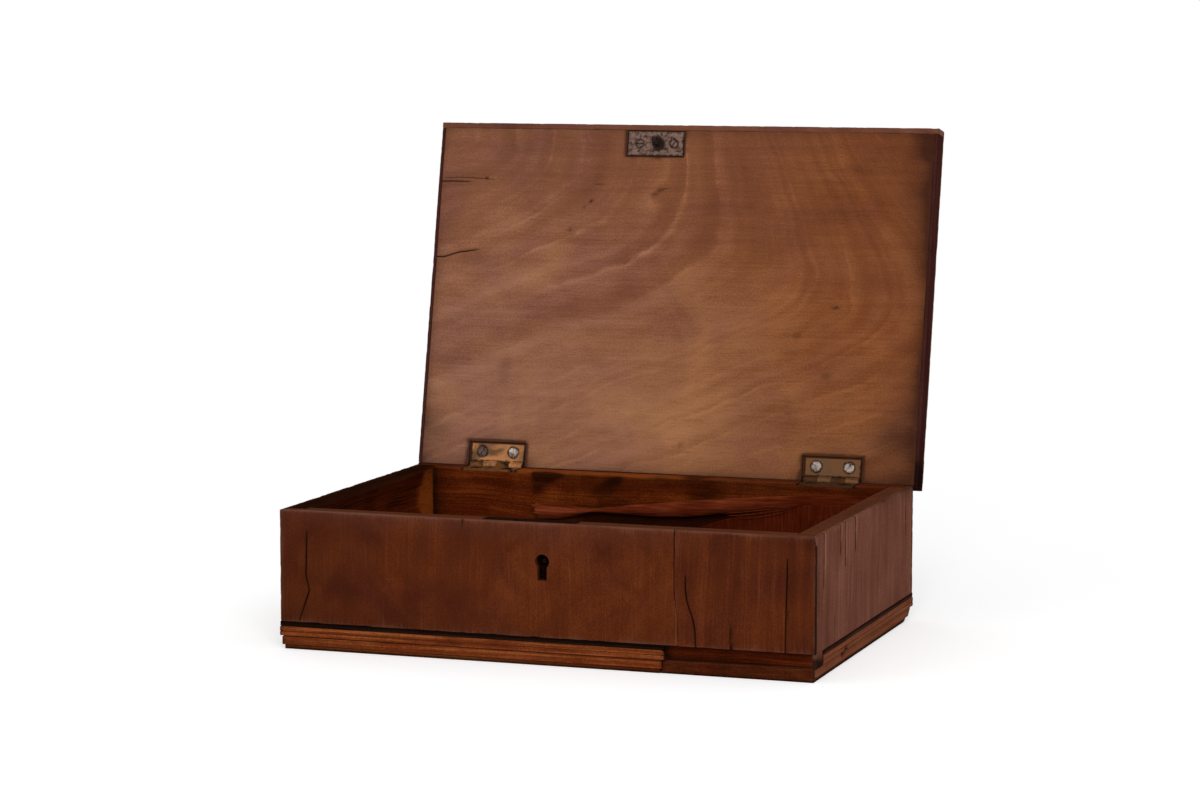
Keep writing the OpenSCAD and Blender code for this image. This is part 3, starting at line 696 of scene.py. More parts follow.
def screwHoles(places, axis, surface, into):
    # Straight holes under the screws, from the surface inwards
    low, high = sorted((surface, surface + into))
    return [disc(axis, place, 1.3, low, high, 16) for place in places]


hingeScrews = [
    (
        s * hinge["x"] + i * hinge["screwAlong"], hinge["pinY"] - hinge["screwOut"],
    ) for s in (-1, 1) for i in (-1, 1)
]


def drawnIn(points, first, second, edge, share):
    # Points past a rounded edge are drawn in to its circle, seen along the third axis
    a = points[:, first] - edge["at"][0]
    b = points[:, second] - edge["at"][1]
    reach = np.hypot(a, b)
    over = np.where((a > 0) & (b < 0), np.maximum(reach - edge["radius"], 0), 0) * share
    pulled = points.copy()
    pulled[:, first] -= a / np.maximum(reach, 1) * over
    pulled[:, second] -= b / np.maximum(reach, 1) * over
    return pulled


def wornBase(points):
    # The base is worn round at the back right, and rubbed round at its front right corner
    points = drawnIn(points, 1, 2, baseWear["back"], ease(106, 118, points[:, 0]))
    return drawnIn(points, 0, 1, baseWear["front"], ease(8, 5, points[:, 2]))


def bareBand(p):
    # 1 on the front wall where the moulding has come off
    x, y, z = p.T
    return ease(57, 60, x) * ease(-84, -85.2, y) * (1 - ease(12.5, 14, z))


def frontBandStain(p):
    # Dark old glue on the bare band, a dark joint along its bottom, and a painted shadow beside the broken
    # end of the moulding
    x, _, z = p.T
    line = np.exp(-(((z - 7.1) / 0.35) ** 2)) + 0.7 * ease(11.6, 12.8, z)
    # painted shadow beside the broken end of the moulding
    beside = 0.9 * np.exp(-(x - 59.5).clip(0) / 1.3)
    glueAndEndShadow = 0.1 + 0.55 * line + beside + 0.3 * roughness(p * [0.35, 1, 1], 6, 71)
    return bareBand(p) * glueAndEndShadow + insideDarkening(p)


def fromWalls(p):
    # How far a place in the box is from the nearest wall, and 0 in the walls
    x, y, _ = p.T
    return np.minimum(cavity["x"] - np.abs(x), cavity["y"] - np.abs(y)).clip(0)


def insideDarkening(p):
    # Darker in the corners and towards the foot of the walls, unevenly
    foot = np.exp(-(p[:, 2] - 6) / 7)
    corner = np.exp(-fromWalls(p) / 6)
    return (0.5 * foot + 0.15 * corner) * (0.5 + 0.5 * roughness(p, 20, 72))


def backStainAndShadow(p):
    # Black marks and drips below the rim, heavier right of the old upright glue line, painted shade
    # in the left corner, and a painted shadow on the wall under the loose lining
    x, _, z = p.T
    below = 66 - z
    drip = 0.5 + 0.5 * roughness(p * [1, 1, 0.25], 9, 73)
    spots = ease(0.1, 0.5, roughness(p * [0.6, 1, 1.3], 9, 74))
    right = ease(-66, -63.5, x + 2.2 * roughness(p, 3, 76))
    mark = 0.8 * spot((x + 58) / 6, (z - 62.5) / 2.6)
    mark = mark + 0.6 * spot((x + 62) / 3.5, (z - 57) / 2.2)
    mark = mark + 0.7 * spot((x + 19) / 2.2, (z - 63.6) / 1.6)
    patch = ease(65, 66, z) * ease(0.0, 0.5, roughness(p, 16, 77)) * 0.5
    top = np.exp(-below / 9) * drip * (0.1 + 0.7 * right)
    # painted shade in the left corner
    corner = 0.9 * np.exp(-(x + cavity["x"]).clip(0) / 4)
    # painted shadow that the loose lining casts on the wall below it
    shelterShadow = ease(-50, -36, x + 5 * roughness(p, 6, 90)) * ease(60, 36, x)
    shelterShadow = shelterShadow * ease(50.5, 47.5, z + 1.5 * roughness(p, 5, 91)) * (0.35 + 0.65 * ease(18, 42, z))
    spots = spots * 0.5 * right * np.exp(-below / 22)
    inside = (top + spots + mark + corner + 0.62 * shelterShadow) * ease(66.2, 65.4, z)
    return insideDarkening(p) + inside + patch


def rimOf(p):
    # 1 on top of the walls
    return ease(64.6, 65.7, p[:, 2])


def wallStainAndShadow(p):
    # The left rim is black with handling, each side board has a dark joint at its ends, and a painted
    # shadow of the rim lies on the left wall's inner face
    x, y, z = p.T
    handled = 0.35 + 0.5 * ease(-122, -127, x) + 0.3 * roughness(p, 9, 87)
    left = rimOf(p) * ease(-118.5, -120, x) * handled
    joint = 0.9 * np.exp(-(81.4 - np.abs(y)).clip(0) / 0.6)
    # painted shadow of the rim on the left wall's inner face
    rimShadow = 0.5 * (x < -118) * np.exp(-(66 - z) / 6)
    return insideDarkening(p) + left + joint + rimShadow


def wallTone(p):
    # The left wall has a paler patch beside its back corner and is darker before it, the back rim is
    # orange right of the left hinge, and the bare band in front is dull
    x, y, z = p.T
    left = (x < -118) * (z > 20) * ease(66, 65, z)
    edge = 57 + 0.7 * np.abs(z - 51)
    patch = ease(edge - 7, edge + 5, y + 3 * roughness(p, 6, 80)) * ease(78, 74, y)
    patch = patch * (0.8 + 0.5 * roughness(p, 7, 79))
    left = left * (0.8 * patch - 0.1 * (1 - patch))
    orange = rimOf(p) * ease(74, 77, y) * ease(-73, -71, x) * ease(60, -10, x)
    warm = 0.2 * spot((x + 53) / 5, (z - 56) / 5) * (y > 76)
    return left + 0.5 * orange + warm - 0.16 * bareBand(p) + 0.12 * roughness(p, 26, 78)


def wallRimSheen(p):
    # The rims' tops carry a painted sheen of the bright surroundings in grey-brown, but not at the left or
    # the back
    x, y, _ = p.T
    return rimOf(p) * (0.62 - 0.45 * ease(-119, -121, x) - 0.5 * ease(74, 77, y)).clip(0)


def wallCool(p):
    # The bare band in front is greyer
    return 1.2 * bareBand(p)


def bottomStainAndContactShadow(p):
    # Darker in the inner corners, old patches, and a painted contact shadow: a black lower edge where the
    # box meets the floor
    inside, z = fromWalls(p), p[:, 2]
    # painted contact shadow along the lowest millimetre
    edge = 1.1 * ease(1.1, 0.3, z) + 0.6 * ease(6.3, 6.9, z) * (inside == 0)
    innerCornerDark = 0.75 * np.exp(-inside / 8) * ease(5, 6, z) * (inside > 0)
    return innerCornerDark + 0.3 * ease(0.2, 0.7, roughness(p, 30, 75)) + edge


bottomShape = {
    "show": "+z", "grain": "x", "outer": 0.35, "inner": 0.35, "wave": 0.2, "seed": 3,
    "steps": (3, 2, 1.6), "chips": 1.0,
}
low, high = nodeBox("bottom_board")
bottom = makeBoard("bottomBoard", low, high, bottomShape)
setPoints(bottom, wornBase(getPoints(bottom)))
dressWood(bottom, low, high, bottomShape, bottomStainAndContactShadow)
finishPiece(bottom, bottomWood, "body", "bottom_board", "bottom_board")

for name, seed in (("front_wall", 11), ("back_wall", 12), ("left_wall", 13), ("right_wall", 14)):
    low, high = nodeBox(name)
    long = name in ("front_wall", "back_wall")
    facing = {"front_wall": "+y", "back_wall": "-y", "left_wall": "+x", "right_wall": "-x"}[name]
    shape = {
        **wallShape, "show": facing, "grain": "x" if long else "y", "seed": seed,
        "steps": (2.5, 2.5, 2.2),
    }
    wall = makeBoard(camel(name), low, high, shape)
    if long:
        inward = 1 if name == "front_wall" else -1  # the rebates that take the side walls' ends
        y0, y1 = sorted((inward * -81.5, inward * -70))
        ends = [block((s * 124 - 5.01, y0, 0), (s * 124 + 5.01, y1, 70)) for s in (-1, 1)]
        cutAway(wall, ends)
    if name == "front_wall":
        case = block(
            (lock["caseLeft"] - 0.1, lock["inFront"] - 0.1, lock["caseLow"] - 0.1),
            (lock["caseRight"] + 0.1, -70, 70),
        )
        plate = block(
            (lock["left"] - 0.1, lock["plateBack"] - 0.05, lock["low"] - 0.1),
            (lock["right"] + 0.1, -70, 70),
        )
        edge = block((lock["left"] - 0.1, lock["inFront"] - 0.1, 64.75), (lock["right"] + 0.1, -70, 70))
        hole = prism(1, keyOutline(), -90, -80)
        cutAway(wall, [case], [plate], [edge], [hole])
        cutAway(wall, [disc(1, (z, x), 1.05, -82, -75, 14) for x in (-27, 13.5) for z in (40, 58)])
    if name == "back_wall":
        cutAway(wall, [hingeMortise(s * hinge["x"], False) for s in (-1, 1)])
        cutAway(wall, screwHoles(hingeScrews, 2, 67, -9.5))
    stains = {"front_wall": frontBandStain, "back_wall": backStainAndShadow}.get(name, wallStainAndShadow)
    dressWood(wall, low, high, shape, stains, fade=wallRimSheen, tone=wallTone, cool=wallCool)
    finishPiece(wall, wallWood, "body", "wall_board", name)
print("walls and bottom made")


# The veneers.

frontLook = {
    "dark": tint(54, 23, 11), "mid": tint(87, 39, 17), "light": tint(124, 62, 26),
    "cool": tint(212, 206, 255), "cooling": 0.85, "faded": tint(104, 68, 58), "fadeMode": "MIX",
    "rubbed": tint(128, 84, 66), "dirt": tint(16, 9, 7), "fibre": 0.36, "streak": 0.16, "cloud": 0.4,
    "grit": 0.4, "bands": 0.75, "rings": 0.0, "pits": 0.3, "rubbing": 0.5, "cloudSize": 42,
    "bandSize": 0.9, "rough": 0.5, "gloss": 0.012, "relief": 0.3,
}
frontWood = woodFinish("frontVeneerWood", frontLook)
frontEndWood = woodFinish(
    "frontEndVeneerWood", {**frontLook, "streak": 0.6, "fibre": 0.5, "cloud": 0.4, "bands": 0.3},
)
# The side veneers' pale pinkish colours hold a painted reflection of the bright surroundings, seen at a
# glancing angle; gloss is off
sideLookWithSheen = {
    **frontLook, "dark": tint(82, 45, 34), "mid": tint(123, 77, 62), "light": tint(158, 108, 88),
    "cool": tint(236, 222, 224), "cooling": 0.5, "faded": tint(70, 40, 30),
    "rubbed": tint(146, 100, 78), "fibre": 0.7, "streak": 0.5, "cloud": 0.35, "grit": 0.5,
    "bands": 0.15, "rough": 0.55, "gloss": 0.0, "relief": 0.5,
}
sideWoodWithSheen = woodFinish("sideVeneerWood", sideLookWithSheen)

frontShape = {
    "show": "-y", "grain": "z", "outer": 0.32, "inner": 0.08, "arris": 1.4, "wave": 0.12, "chips": 0.9,
    "steps": (2.5, 2, 2), "ragged": 0.45,
}
seamPath = [(13, 65.5), (24, 65.5), (28, 64.9), (31, 64.5), (34, 63.9), (38, 63.5), (67, 63.5)]
seamGap = [(13, 0.02), (24, 0.05), (30, 0.3), (67, 0.45)]


def frontFigure(p):
    # Soft bands that climb to the right, bent by slow noise
    x, _, z = p.T
    return (z * 0.6 - x * 0.7 + 20 * roughness(p, 60, 81)) / 19


def frontStain(p):
    # Grime along the foot and the left end, a dark patch at the top right corner, and a black
    # line down the right end and along the rim
    x, _, z = p.T
    foot = 0.35 * np.exp(-(z - 13) / 3)
    left = 0.2 * np.exp(-(x + 130) / 9)
    corner = 0.6 * spot((x - 126) / 16, (z - 64) / 5, 1.3)
    right = 0.35 * np.exp(-(130 - x) / 2.5)
    line = 1.1 * ease(129.3, 129.9, x + 0.3 * bumps(p, 3, 88))
    return (foot + left + corner + right) * (0.7 + 0.5 * roughness(p, 12, 82)) + line


def frontRimSheen(p):
    # A painted sheen below the rim, strongest at the left, and a painted highlight along the top arris
    x, _, z = p.T
    sheenBand = 0.14 * ease(55, 66, z + 2 * roughness(p, 18, 83)) * ease(110, 20, x)
    return sheenBand + 0.45 * ease(65.2, 65.9, z) * (0.7 + 0.5 * roughness(p, 20, 89))


def frontCool(p):
    # Purple-brown at the left and top, partly a painted reflection of the bright surroundings, and orange
    # in the middle and at the right
    x, _, z = p.T
    return 0.2 * ease(10, -110, x) + 0.12 * ease(40, 64, z) - 0.08 + 0.18 * roughness(
        p * [1, 1, 0.8], 30, 84,
    )


def frontTone(p):
    # Lighter in a broad oval right of the keyhole, darker at both ends
    x, _, z = p.T
    warm = spot((x - 45) / 60, (z - 35) / 30)
    return 0.08 * warm - 0.1 * ease(-20, -125, x) - 0.04 * ease(95, 125, x)


def sideTone(p):
    # Paler raised splinters behind each split at the rim, and a paler front strip
    x, y, z = p.T
    total = 0.02 * ease(-73, -75, y) - 0.12 * ease(-30, -80, y) + 0.1 * roughness(p * [1, 1, 0.4], 14, 86)
    for at, foot in ((-73.7, 47), (-46, 56), (-37.5, 48), (-20, 53)):
        total = total + 0.35 * np.exp(-((y - at - 1.8) ** 2) / 1.2) * ease(foot - 3, foot + 6, z)
    red = 0.15 * spot((y + 50) / 12, (z - 42) / 10)
    return (total + red) * (x > 0)


def sideStain(p):
    # Soaked dark below the rim towards the back, and dusty along the foot
    x, y, z = p.T
    rim = 0.5 * np.exp(-(66 - z) / 6) * ease(-20, 60, y) + 0.25 * np.exp(-(66 - z) / 1.5)
    foot = 0.25 * np.exp(-(z - 13) / 2)
    ends = 0.8 * ease(86.6, 87.4, np.abs(y))
    left = (x < 0) * (0.3 + 0.6 * rimOf(p))
    return (rim + foot) * (0.6 + 0.5 * roughness(p * [1, 1, 0.4], 10, 85)) + ends + left


veneerCracks = {
    "front_veneer_main": [
        split(
            0.28, 1.1, 9, 10, (13, -120.3), (15.5, -119.9), (22, -117.6), (28.5, -115.2),
            (31, -115.8), (35.5, -116.9), (46, -116.6), (58, -116.2),
        ),
        split(0.2, 0.8, 5, 4, (61, -38.6), (70, -38.2), jag=0.05),
    ],
    "front_veneer_end": [
        split(
            0.3, 1.2, 4.4, 11, (10, 74.2), (14.4, 73.9), (21, 73.6), (26.6, 72.5),
            (31, 70.7), (34.7, 69.6), (40, 69.0), (47, 69.1),
        ),
        split(0.26, 1.1, 6, 7, (8, 115.8), (28.4, 116.1), (44, 116.5), (57, 116.6)),
        split(0.12, 0.3, 5, 9, (8, 90.3), (20, 90.0), (26, 90.2)),
    ],
    "right_veneer": [
        split(0.35, 1.1, 6, 14, (40, -74.6), (52, -74.0), (64.4, -73.7), (75, -73.4)),
        split(0.5, 1.2, 4, 8, (51, -46.4), (65, -46.1), (75, -46)),
        split(0.5, 1.2, 3.8, 12, (44, -37.8), (65, -37.5), (75, -37.4)),
        split(0.45, 1.2, 6, 10, (49, -20.4), (65, -20), (75, -20)),
        split(0.2, 0.5, 6, 6, (12, -55.5), (27, -55)),
        split(0.3, 0.9, 6, 12, (42, 73.4), (66, 73), (75, 73)),
    ],
}

for name, finish, seed in (
    ("front_veneer_main", frontWood, 21), ("front_veneer_end", frontEndWood, 22),
    ("back_veneer", frontWood, 23), ("left_veneer", sideWoodWithSheen, 24), ("right_veneer", sideWoodWithSheen, 25),
):
    low, high = nodeBox(name)
    facing = {"front": "-y", "back_": "+y", "left_": "-x", "right": "+x"}[name[:5]]
    shape = {**frontShape, "show": facing, "seed": seed, "cracks": veneerCracks.get(name, [])}
    if name == "front_veneer_main":
        shape["bends"] = [{"at": high[0], "path": seamPath, "reach": 24}]
    if name == "front_veneer_end":
        path = [(z, x + np.interp(z, *zip(*seamGap))) for z, x in seamPath]
        shape["bends"] = [{"at": low[0], "path": path, "reach": 4}]
    if "front" not in name:
        shape.update(wave=0.2, steps=(2.5, 1.5, 2), ragged=0.6, outline=0.5)
    veneer = makeBoard(camel(name), low, high, shape)
    if name == "front_veneer_main":
        cutAway(veneer, [prism(1, keyOutline(), -92, -80)])
    if name == "back_veneer":
        cutAway(veneer, [hingeMortise(s * hinge["x"], False) for s in (-1, 1)])
    if name == "right_veneer":
        cutAway(veneer, [block((127, -75.9, 0), (131, 90, 13.2))])
    if name == "front_veneer_end":
        chip = filleted([(60, 131), (67, 131), (67, 128.5), (63, 128.8)], 1, 4)
        cutAway(veneer, [prism(1, chip, -90, -84)])
    if name.startswith("front"):
        rules = {"fade": frontRimSheen, "cool": frontCool, "tone": frontTone}
        dressWood(veneer, low, high, shape, frontStain, frontFigure, **rules)
    else:
        dressWood(veneer, low, high, shape, sideStain, tone=sideTone)
    finishPiece(veneer, finish, "body", "front_veneer" if finish is not sideWoodWithSheen else "side_veneer", name)
print("veneers made")


# Base mouldings and the dark line.

stripLook = {
    "dark": tint(62, 27, 13), "mid": tint(124, 64, 31), "light": tint(186, 112, 60),
    "cool": tint(220, 215, 240), "cooling": 0.4, "faded": tint(230, 200, 190),
    "rubbed": tint(160, 98, 58), "dirt": tint(18, 9, 5), "fibre": 0.7, "streak": 1.05, "cloud": 0.4,
    "grit": 0.4, "bands": 0.2, "rings": 0.0, "pits": 0.5, "rubbing": 0.45,
    "streakSize": (5, 520, 520), "rough": 0.55, "gloss": 0.0, "relief": 0.8,
}
stripWood = woodFinish("mouldingWood", stripLook)
stringWood = woodFinish("darkLineWood", {
    **stripLook, "dark": tint(14, 8, 6), "mid": tint(32, 18, 12), "light": tint(60, 40, 30),
    "rubbed": tint(66, 44, 34), "dirt": tint(12, 8, 6), "rubbing": 0.25,
})
# Paler copies for the right side, holding the same painted reflection of the bright surroundings as the
# side veneers
stringWoodWithSheen = woodFinish("dustyLineWood", {
    **stripLook, "dark": tint(40, 24, 19), "mid": tint(72, 45, 36), "light": tint(102, 68, 54),
    "rubbed": tint(100, 68, 54), "dirt": tint(16, 10, 8), "streak": 0.6,
})
stripWoodWithSheen = woodFinish("dustyMouldingWood", {
    **stripLook, "dark": tint(96, 56, 38), "mid": tint(138, 86, 60), "light": tint(170, 114, 82),
    "rubbed": tint(160, 108, 78), "streak": 0.6,
})

banding = {
    "upper": [
        (0, 6.4), (2.0, 6.4), (2.3, 6.7), (2.3, 8.3), (2.1, 8.6), (2.3, 8.9), (2.3, 10.6), (1.9, 11),
        (0, 11),
    ],
    "lower": [(0, 0), (0.5, 0), (0.5, 2.0), (1.2, 2.1), (1.5, 2.4), (1.5, 5.8), (1.1, 6.2), (0, 6.2)],
    "string": [(0, 11.02), (2.1, 11.02), (2.1, 13.18), (0, 13.18)],
    "soft": {"upper": 0.22, "lower": 0.25, "string": 0.12},
}
brokenAt = {"upper": 59.5, "lower": 58.0, "string": 59.5}
rightFrom = {"upper": -75.5, "lower": -85.5, "string": -73.5}


def makeMoulding(name, kind, side, seed):
    # A rounded profile carried along one side of the box. Each point of it has its own start
    # and end, which gives mitres at the corners and a worn, rounded end where it broke off.
    profile = filleted(banding[kind], banding["soft"][kind], 4)
    out, z = profile.T
    core = base["x"] if side in ("front", "back") else base["y"]
    end = core + out
    start = -core - out
    edge = 0.35 * bumps(np.stack([z * 3, out, z], 1), 2, seed)
    if side == "front":
        middle = {"upper": 9.0, "lower": 2.0, "string": 12}[kind]
        over = np.clip((z - middle) if kind == "upper" else (middle - z), 0, 2)
        end = brokenAt[kind] - 2 + np.sqrt(np.clip(4 - over**2, 0.02, 4)) - 0.25 * (out / 2.3) ** 2 + edge
    if side == "right":
        start = rightFrom[kind] + edge + 0.3 * (out / 2) ** 2
    count = 150
    t = np.linspace(0, 1, count)
    t = (t + 0.5 * (1 - np.cos(np.pi * t))) / 2
    along = start[None] + (end - start)[None] * t[:, None]
    place = np.stack([along, np.broadcast_to(out, along.shape), np.broadcast_to(z, along.shape)], -1)
    flat = place.reshape(-1, 3)
    wear = 0.12 * (0.5 + 0.5 * roughness(flat * [1, 0.3, 1], 18, seed))
    wear = wear + 0.5 * np.clip(roughness(flat, 7, seed + 1) - 0.42, 0, 1)
    outward = np.clip(flat[:, 1] / 0.5, 0, 1)
    flat[:, 1] -= wear * outward * (0.4 if kind == "string" else 1)
    far, deep, up = flat.T
    turned = {
        "front": (far, -base["y"] - deep), "back": (-far, base["y"] + deep),
        "right": (base["x"] + deep, far), "left": (-base["x"] - deep, -far),
    }[side]
    points = np.stack([*turned, up], 1)
    n = len(profile)
    i, j = np.meshgrid(np.arange(count - 1), np.arange(n), indexing="ij")
    k = (j + 1) % n
    quads = np.stack([i * n + j, i * n + k, (i + 1) * n + k, (i + 1) * n + j], -1).reshape(-1, 4)
    ring = list(range(n))
    faces = quads.tolist() + [ring[::-1], [(count - 1) * n + q for q in ring]]
    if kind == "lower":
        points = wornBase(points)
    made = newObject(name, points, facedOut(points, faces))
    setValue(made, "grain", flat * mm + 0.53 * seed)
    ends = np.minimum(np.abs(far - start.min()), np.abs(far - end.max()))
    arris = np.exp(-np.abs(up - z.max()) / 0.6) + np.exp(-np.abs(up - z.min()) / 0.5)
    setValue(made, "worn", np.clip(arris * 0.6 * (0.6 + 0.6 * roughness(flat, 12, seed + 2)), 0, 1))
    groove = np.exp(-(((up - 8.6) / 0.25) ** 2)) * 0.5 * (kind == "upper")
    # painted shade under the lower strip's step, and a painted contact shadow along its lowest millimetre
    step = np.exp(-(((up - 2.0) / 0.3) ** 2)) * 0.6 * (kind == "lower") + 1.1 * ease(0.9, 0.2, up)
    joint = np.minimum(np.abs(up - 6.3), np.abs(up - 11)) / 0.16
    seam = 0.9 * np.exp(-(joint**2)) * (kind != "string")
    top = 0.8 * ease(12.6, 13.1, up)
    knot = 0.0
    if side == "right":
        knot = 1.2 * spot((far + 37) / 2.2, (up - 6.8) / 1.3)
        knot = knot + 0.9 * spot((far + 41) / 1.8, (up - 5.6) / 0.8)
    # darker at the ends: dark joints at the mitres, painted shade on the broken end faces
    dirt = groove + step + seam + top + knot + 0.8 * np.exp(-ends / 0.9)
    setValue(made, "dirt", np.clip(dirt, 0, 1))
    setValue(made, "fade", 0.5 + 0.5 * roughness(flat, 40, seed + 3))
    setValue(made, "figure", up / 3)
    return made


seed = 30
for side in ("front", "back", "left", "right"):
    for kind, finish, slot, node in (
        ("upper", stripWood, "base_moulding", "_upper_strip"),
        ("lower", stripWood, "base_moulding", "_lower_strip"),
        ("string", stringWood, "dark_stringing", "_stringing"),
    ):
        seed += 1
        strip = makeMoulding(side + kind.title() + "Strip", kind, side, seed)
        if side == "right":
            finish = stringWoodWithSheen if kind == "string" else stripWoodWithSheen
        finishPiece(strip, finish, "body", slot, side + node, smooth=50)
print("mouldings made")


# The lid.

lidLook = {
    "dark": tint(84, 46, 28), "mid": tint(138, 89, 62), "light": tint(188, 136, 98),
    "cool": tint(224, 216, 248), "cooling": 0.75, "coolSize": 16, "faded": tint(228, 196, 148),
    "rubbed": tint(150, 104, 78), "dirt": tint(44, 20, 14), "fibre": 0.3, "streak": 0.2, "cloud": 0.42,
    "grit": 0.34, "bands": 0.6, "rings": 0.17, "wander": 0.5, "pits": 0.35, "rubbing": 0.2,
    "cloudSize": 24, "rough": 0.6, "gloss": 0.05, "relief": 0.35, "grime": 0.8,
    "ringShape": [
        (0, grey(0.3)), (0.42, grey(0.14)), (0.5, grey(1)), (0.57, grey(0.5)), (0.72, grey(0.32)),
        (1, grey(0.3)),
    ],
}
lidWood = woodFinish("lidBoardWood", lidLook)
# The lippings' purple-grey holds a painted sheen of the bright surroundings; gloss is off
lippingWood = woodFinish("lippingWood", {
    **sideLookWithSheen, "dark": tint(38, 17, 14), "mid": tint(66, 33, 29), "light": tint(92, 52, 44),
    "rubbed": tint(84, 50, 44),
})
rimWood = woodFinish(
    "frontLippingWood",
    {
        **lidLook, "dark": tint(64, 32, 22), "mid": tint(116, 69, 49), "light": tint(146, 96, 70),
        "rings": 0.0,
    },
)
lidBackWood = woodFinish("lidVeneerWood", {
    **frontLook, "mid": tint(92, 46, 24), "gloss": 0.03, "cloud": 0.22, "cooling": 0.35, "streak": 0.4,
    "fibre": 0.5, "relief": 0.1,
})
ringPlaces = [0.2, 0.36, 0.5, 0.64, 0.8, 1.0, 1.18, 1.39, 1.52, 1.65, 1.77, 1.9, 2.05, 2.2, 2.4]


def upLid(p):
    # How far a point lies from the hinge line, up the opened lid
    return hinge["pinY"] - p[:, 1]


def lidFigure(p):
    # Nested rounded corners: the larger of a rising and an upright distance, blended by a
    # high power. The upright lines lean over towards the right, as the cut runs off the heart.
    x, _, _ = p.T
    across = 745 + 55 * upLid(p) / 177 + 5.64 * x
    down = 1020 - 5.68 * upLid(p)
    lean = np.interp(across, [800, 930, 1300, 1500], [0, 0.3, 0.77, 0.85])
    upright = np.clip(across + lean * (430 - down), 1, None) / 820
    rising = np.clip(down + 0.4 * across, 1, None) / 668
    field = (upright**9 + rising**9) ** (1 / 9)
    knot = np.hypot((x + 12) / 9, (upLid(p) - 141) / 6)
    field = field + 0.045 * roughness(p, 38, 91) + 0.012 * roughness(p, 9, 92) + 0.07 * np.exp(-(knot**2))
    return np.interp(field, ringPlaces, np.arange(len(ringPlaces))) + 0.5


def lidLineStrength(p):
    # The growth lines come and go, and are plainest in the middle and right of the knot
    x, _, _ = p.T
    up = upLid(p)
    middle = np.exp(-(((x + 25) / 42) ** 2) - ((up - 108) / 18) ** 2)
    upper = np.exp(-(((x - 10) / 14) ** 2) - ((up - 142) / 26) ** 2)
    return 0.1 + 0.9 * ease(-0.2, 0.5, roughness(p, 30, 96)) + 1.0 * middle + 0.9 * upper


def lidLightAndTone(p):
    # A painted pool of light low in the middle, painted shade towards the front edge, deeper towards the
    # left
    x, _, _ = p.T
    up = upLid(p)
    glow = np.exp(-(((x + 5) / 110) ** 2) - ((up - 22) / 70) ** 2)
    knot = spot((x + 15) / 5, (up - 136) / 4)
    return 0.26 * glow - 0.07 * ease(90, 175, up) + 0.12 * knot + 0.05 * ease(0, -100, x)


def lidCool(p):
    # Greyer to the left, with slanting patches
    x, _, _ = p.T
    slant = (x * 0.5 - upLid(p)) / 30
    patches = roughness(np.stack([slant, x / 90, 0 * slant], 1), 1, 97)
    return 0.16 * ease(60, -120, x) + 0.12 * patches


def lidStainAndShade(p):
    # Dark handling dirt at the edges and corners, by the hinges, and small specks, with painted shade in
    # the gaps round the board and round each recess
    x, y, z = p.T
    up = upLid(p)
    side = np.where(x > 0, 0.8, 0.5) * np.exp(-(130 - np.abs(x)).clip(0) / np.where(x > 0, 5, 3))
    rim = np.exp(-(174 - up).clip(0) / 3) * 0.35 + np.exp(-up.clip(0) / 3.5) * 0.6
    corners = 0.85 * spot((x - 130) / 13, (up - 168) / 34, 1.4) + 0.5 * spot((x - 128) / 26, (up - 12) / 30)
    corners = corners + 0.3 * spot((x - 118) / 9, (up - 24) / 7) + 0.65 * spot(
        (x + 128) / 14, (up - 17) / 11,
    )
    hinges = sum(0.45 * spot((x - s * hinge["x"]) / 19, (up - 4) / 13, 4) for s in (-1, 1))
    patchy = 0.75 + 0.4 * roughness(p * [0.5, 1, 1], 12, 93)
    # painted shade on the board's edges where they show in the gaps beside the lippings
    gaps = 1.2 * ease(66.4, 67.2, z) * (np.abs(x) < 129) * (y < 87.5)
    return (side + rim + corners + hinges) * patchy + lidSpecks(p) + gaps + recessShade(p)


def recessShade(p):
    # Painted shade and dirt round each recess: it fades within a millimetre of the recess's edge
    x, y, _ = p.T
    total = 0
    for left, right, front, back in recesses:
        beside = np.maximum(left - x, x - right).clip(0)
        beyond = np.maximum(front - y, y - back).clip(0)
        width = 0.75 + 0.5 * bumps(p, 3.5, 98) + 0.35 * (x < left)
        total = total + 1.1 * np.exp(-((np.hypot(beside, beyond) / width.clip(0.3)) ** 2))
    return total


recesses = [(-104.4, -73.5, 75.6, 200), (72.6, 103.5, 75.6, 200), (-30.1, 0.3, -86.3, -73)]
lidMarks = [  # small marks: across, up the lid, size along, size up, strength
    (-13.6, 141.4, 2.4, 0.8, 1.0), (-11.2, 143.4, 1.6, 0.6, 0.8), (-8.6, 144.6, 2.2, 0.35, 0.6),
    (-14.6, 139.6, 1.4, 0.5, 0.5), (-53.5, 136.5, 0.7, 0.5, 0.9),
    (-47.6, 137.5, 0.6, 0.4, 0.9), (-50.6, 134.8, 0.9, 0.4, 0.9), (-58, 122.5, 1.5, 1.3, 0.55),
    (-59, 158, 0.8, 0.7, 0.6), (-105.5, 148.5, 1.0, 1.0, 0.8), (-44, 146.3, 3.4, 0.4, 0.6),
    (42, 153, 2.4, 0.5, 0.7), (66, 72, 2.4, 1.6, 0.55), (82, 52, 3.5, 2.2, 0.45), (9, 15, 1.3, 1.0, 0.6),
    (-32, 18, 1.3, 0.5, 0.8), (85, 86.5, 2.0, 0.5, 0.8), (-88, 50, 4, 8, 0.25),
]


def lidSpecks(p):
    # The sum of small bells, one for each mark
    up = upLid(p)
    total = np.zeros(len(p))
    for across, height, wide, tall, deep in lidMarks:
        total += deep * np.exp(-(((p[:, 0] - across) / wide) ** 2) - ((up - height) / tall) ** 2)
    return total


def lidFade(p):
    # The right side is redder and deeper, the left is greyer
    return ease(-125, 125, p[:, 0]) * (0.8 + 0.2 * roughness(p, 60, 94))


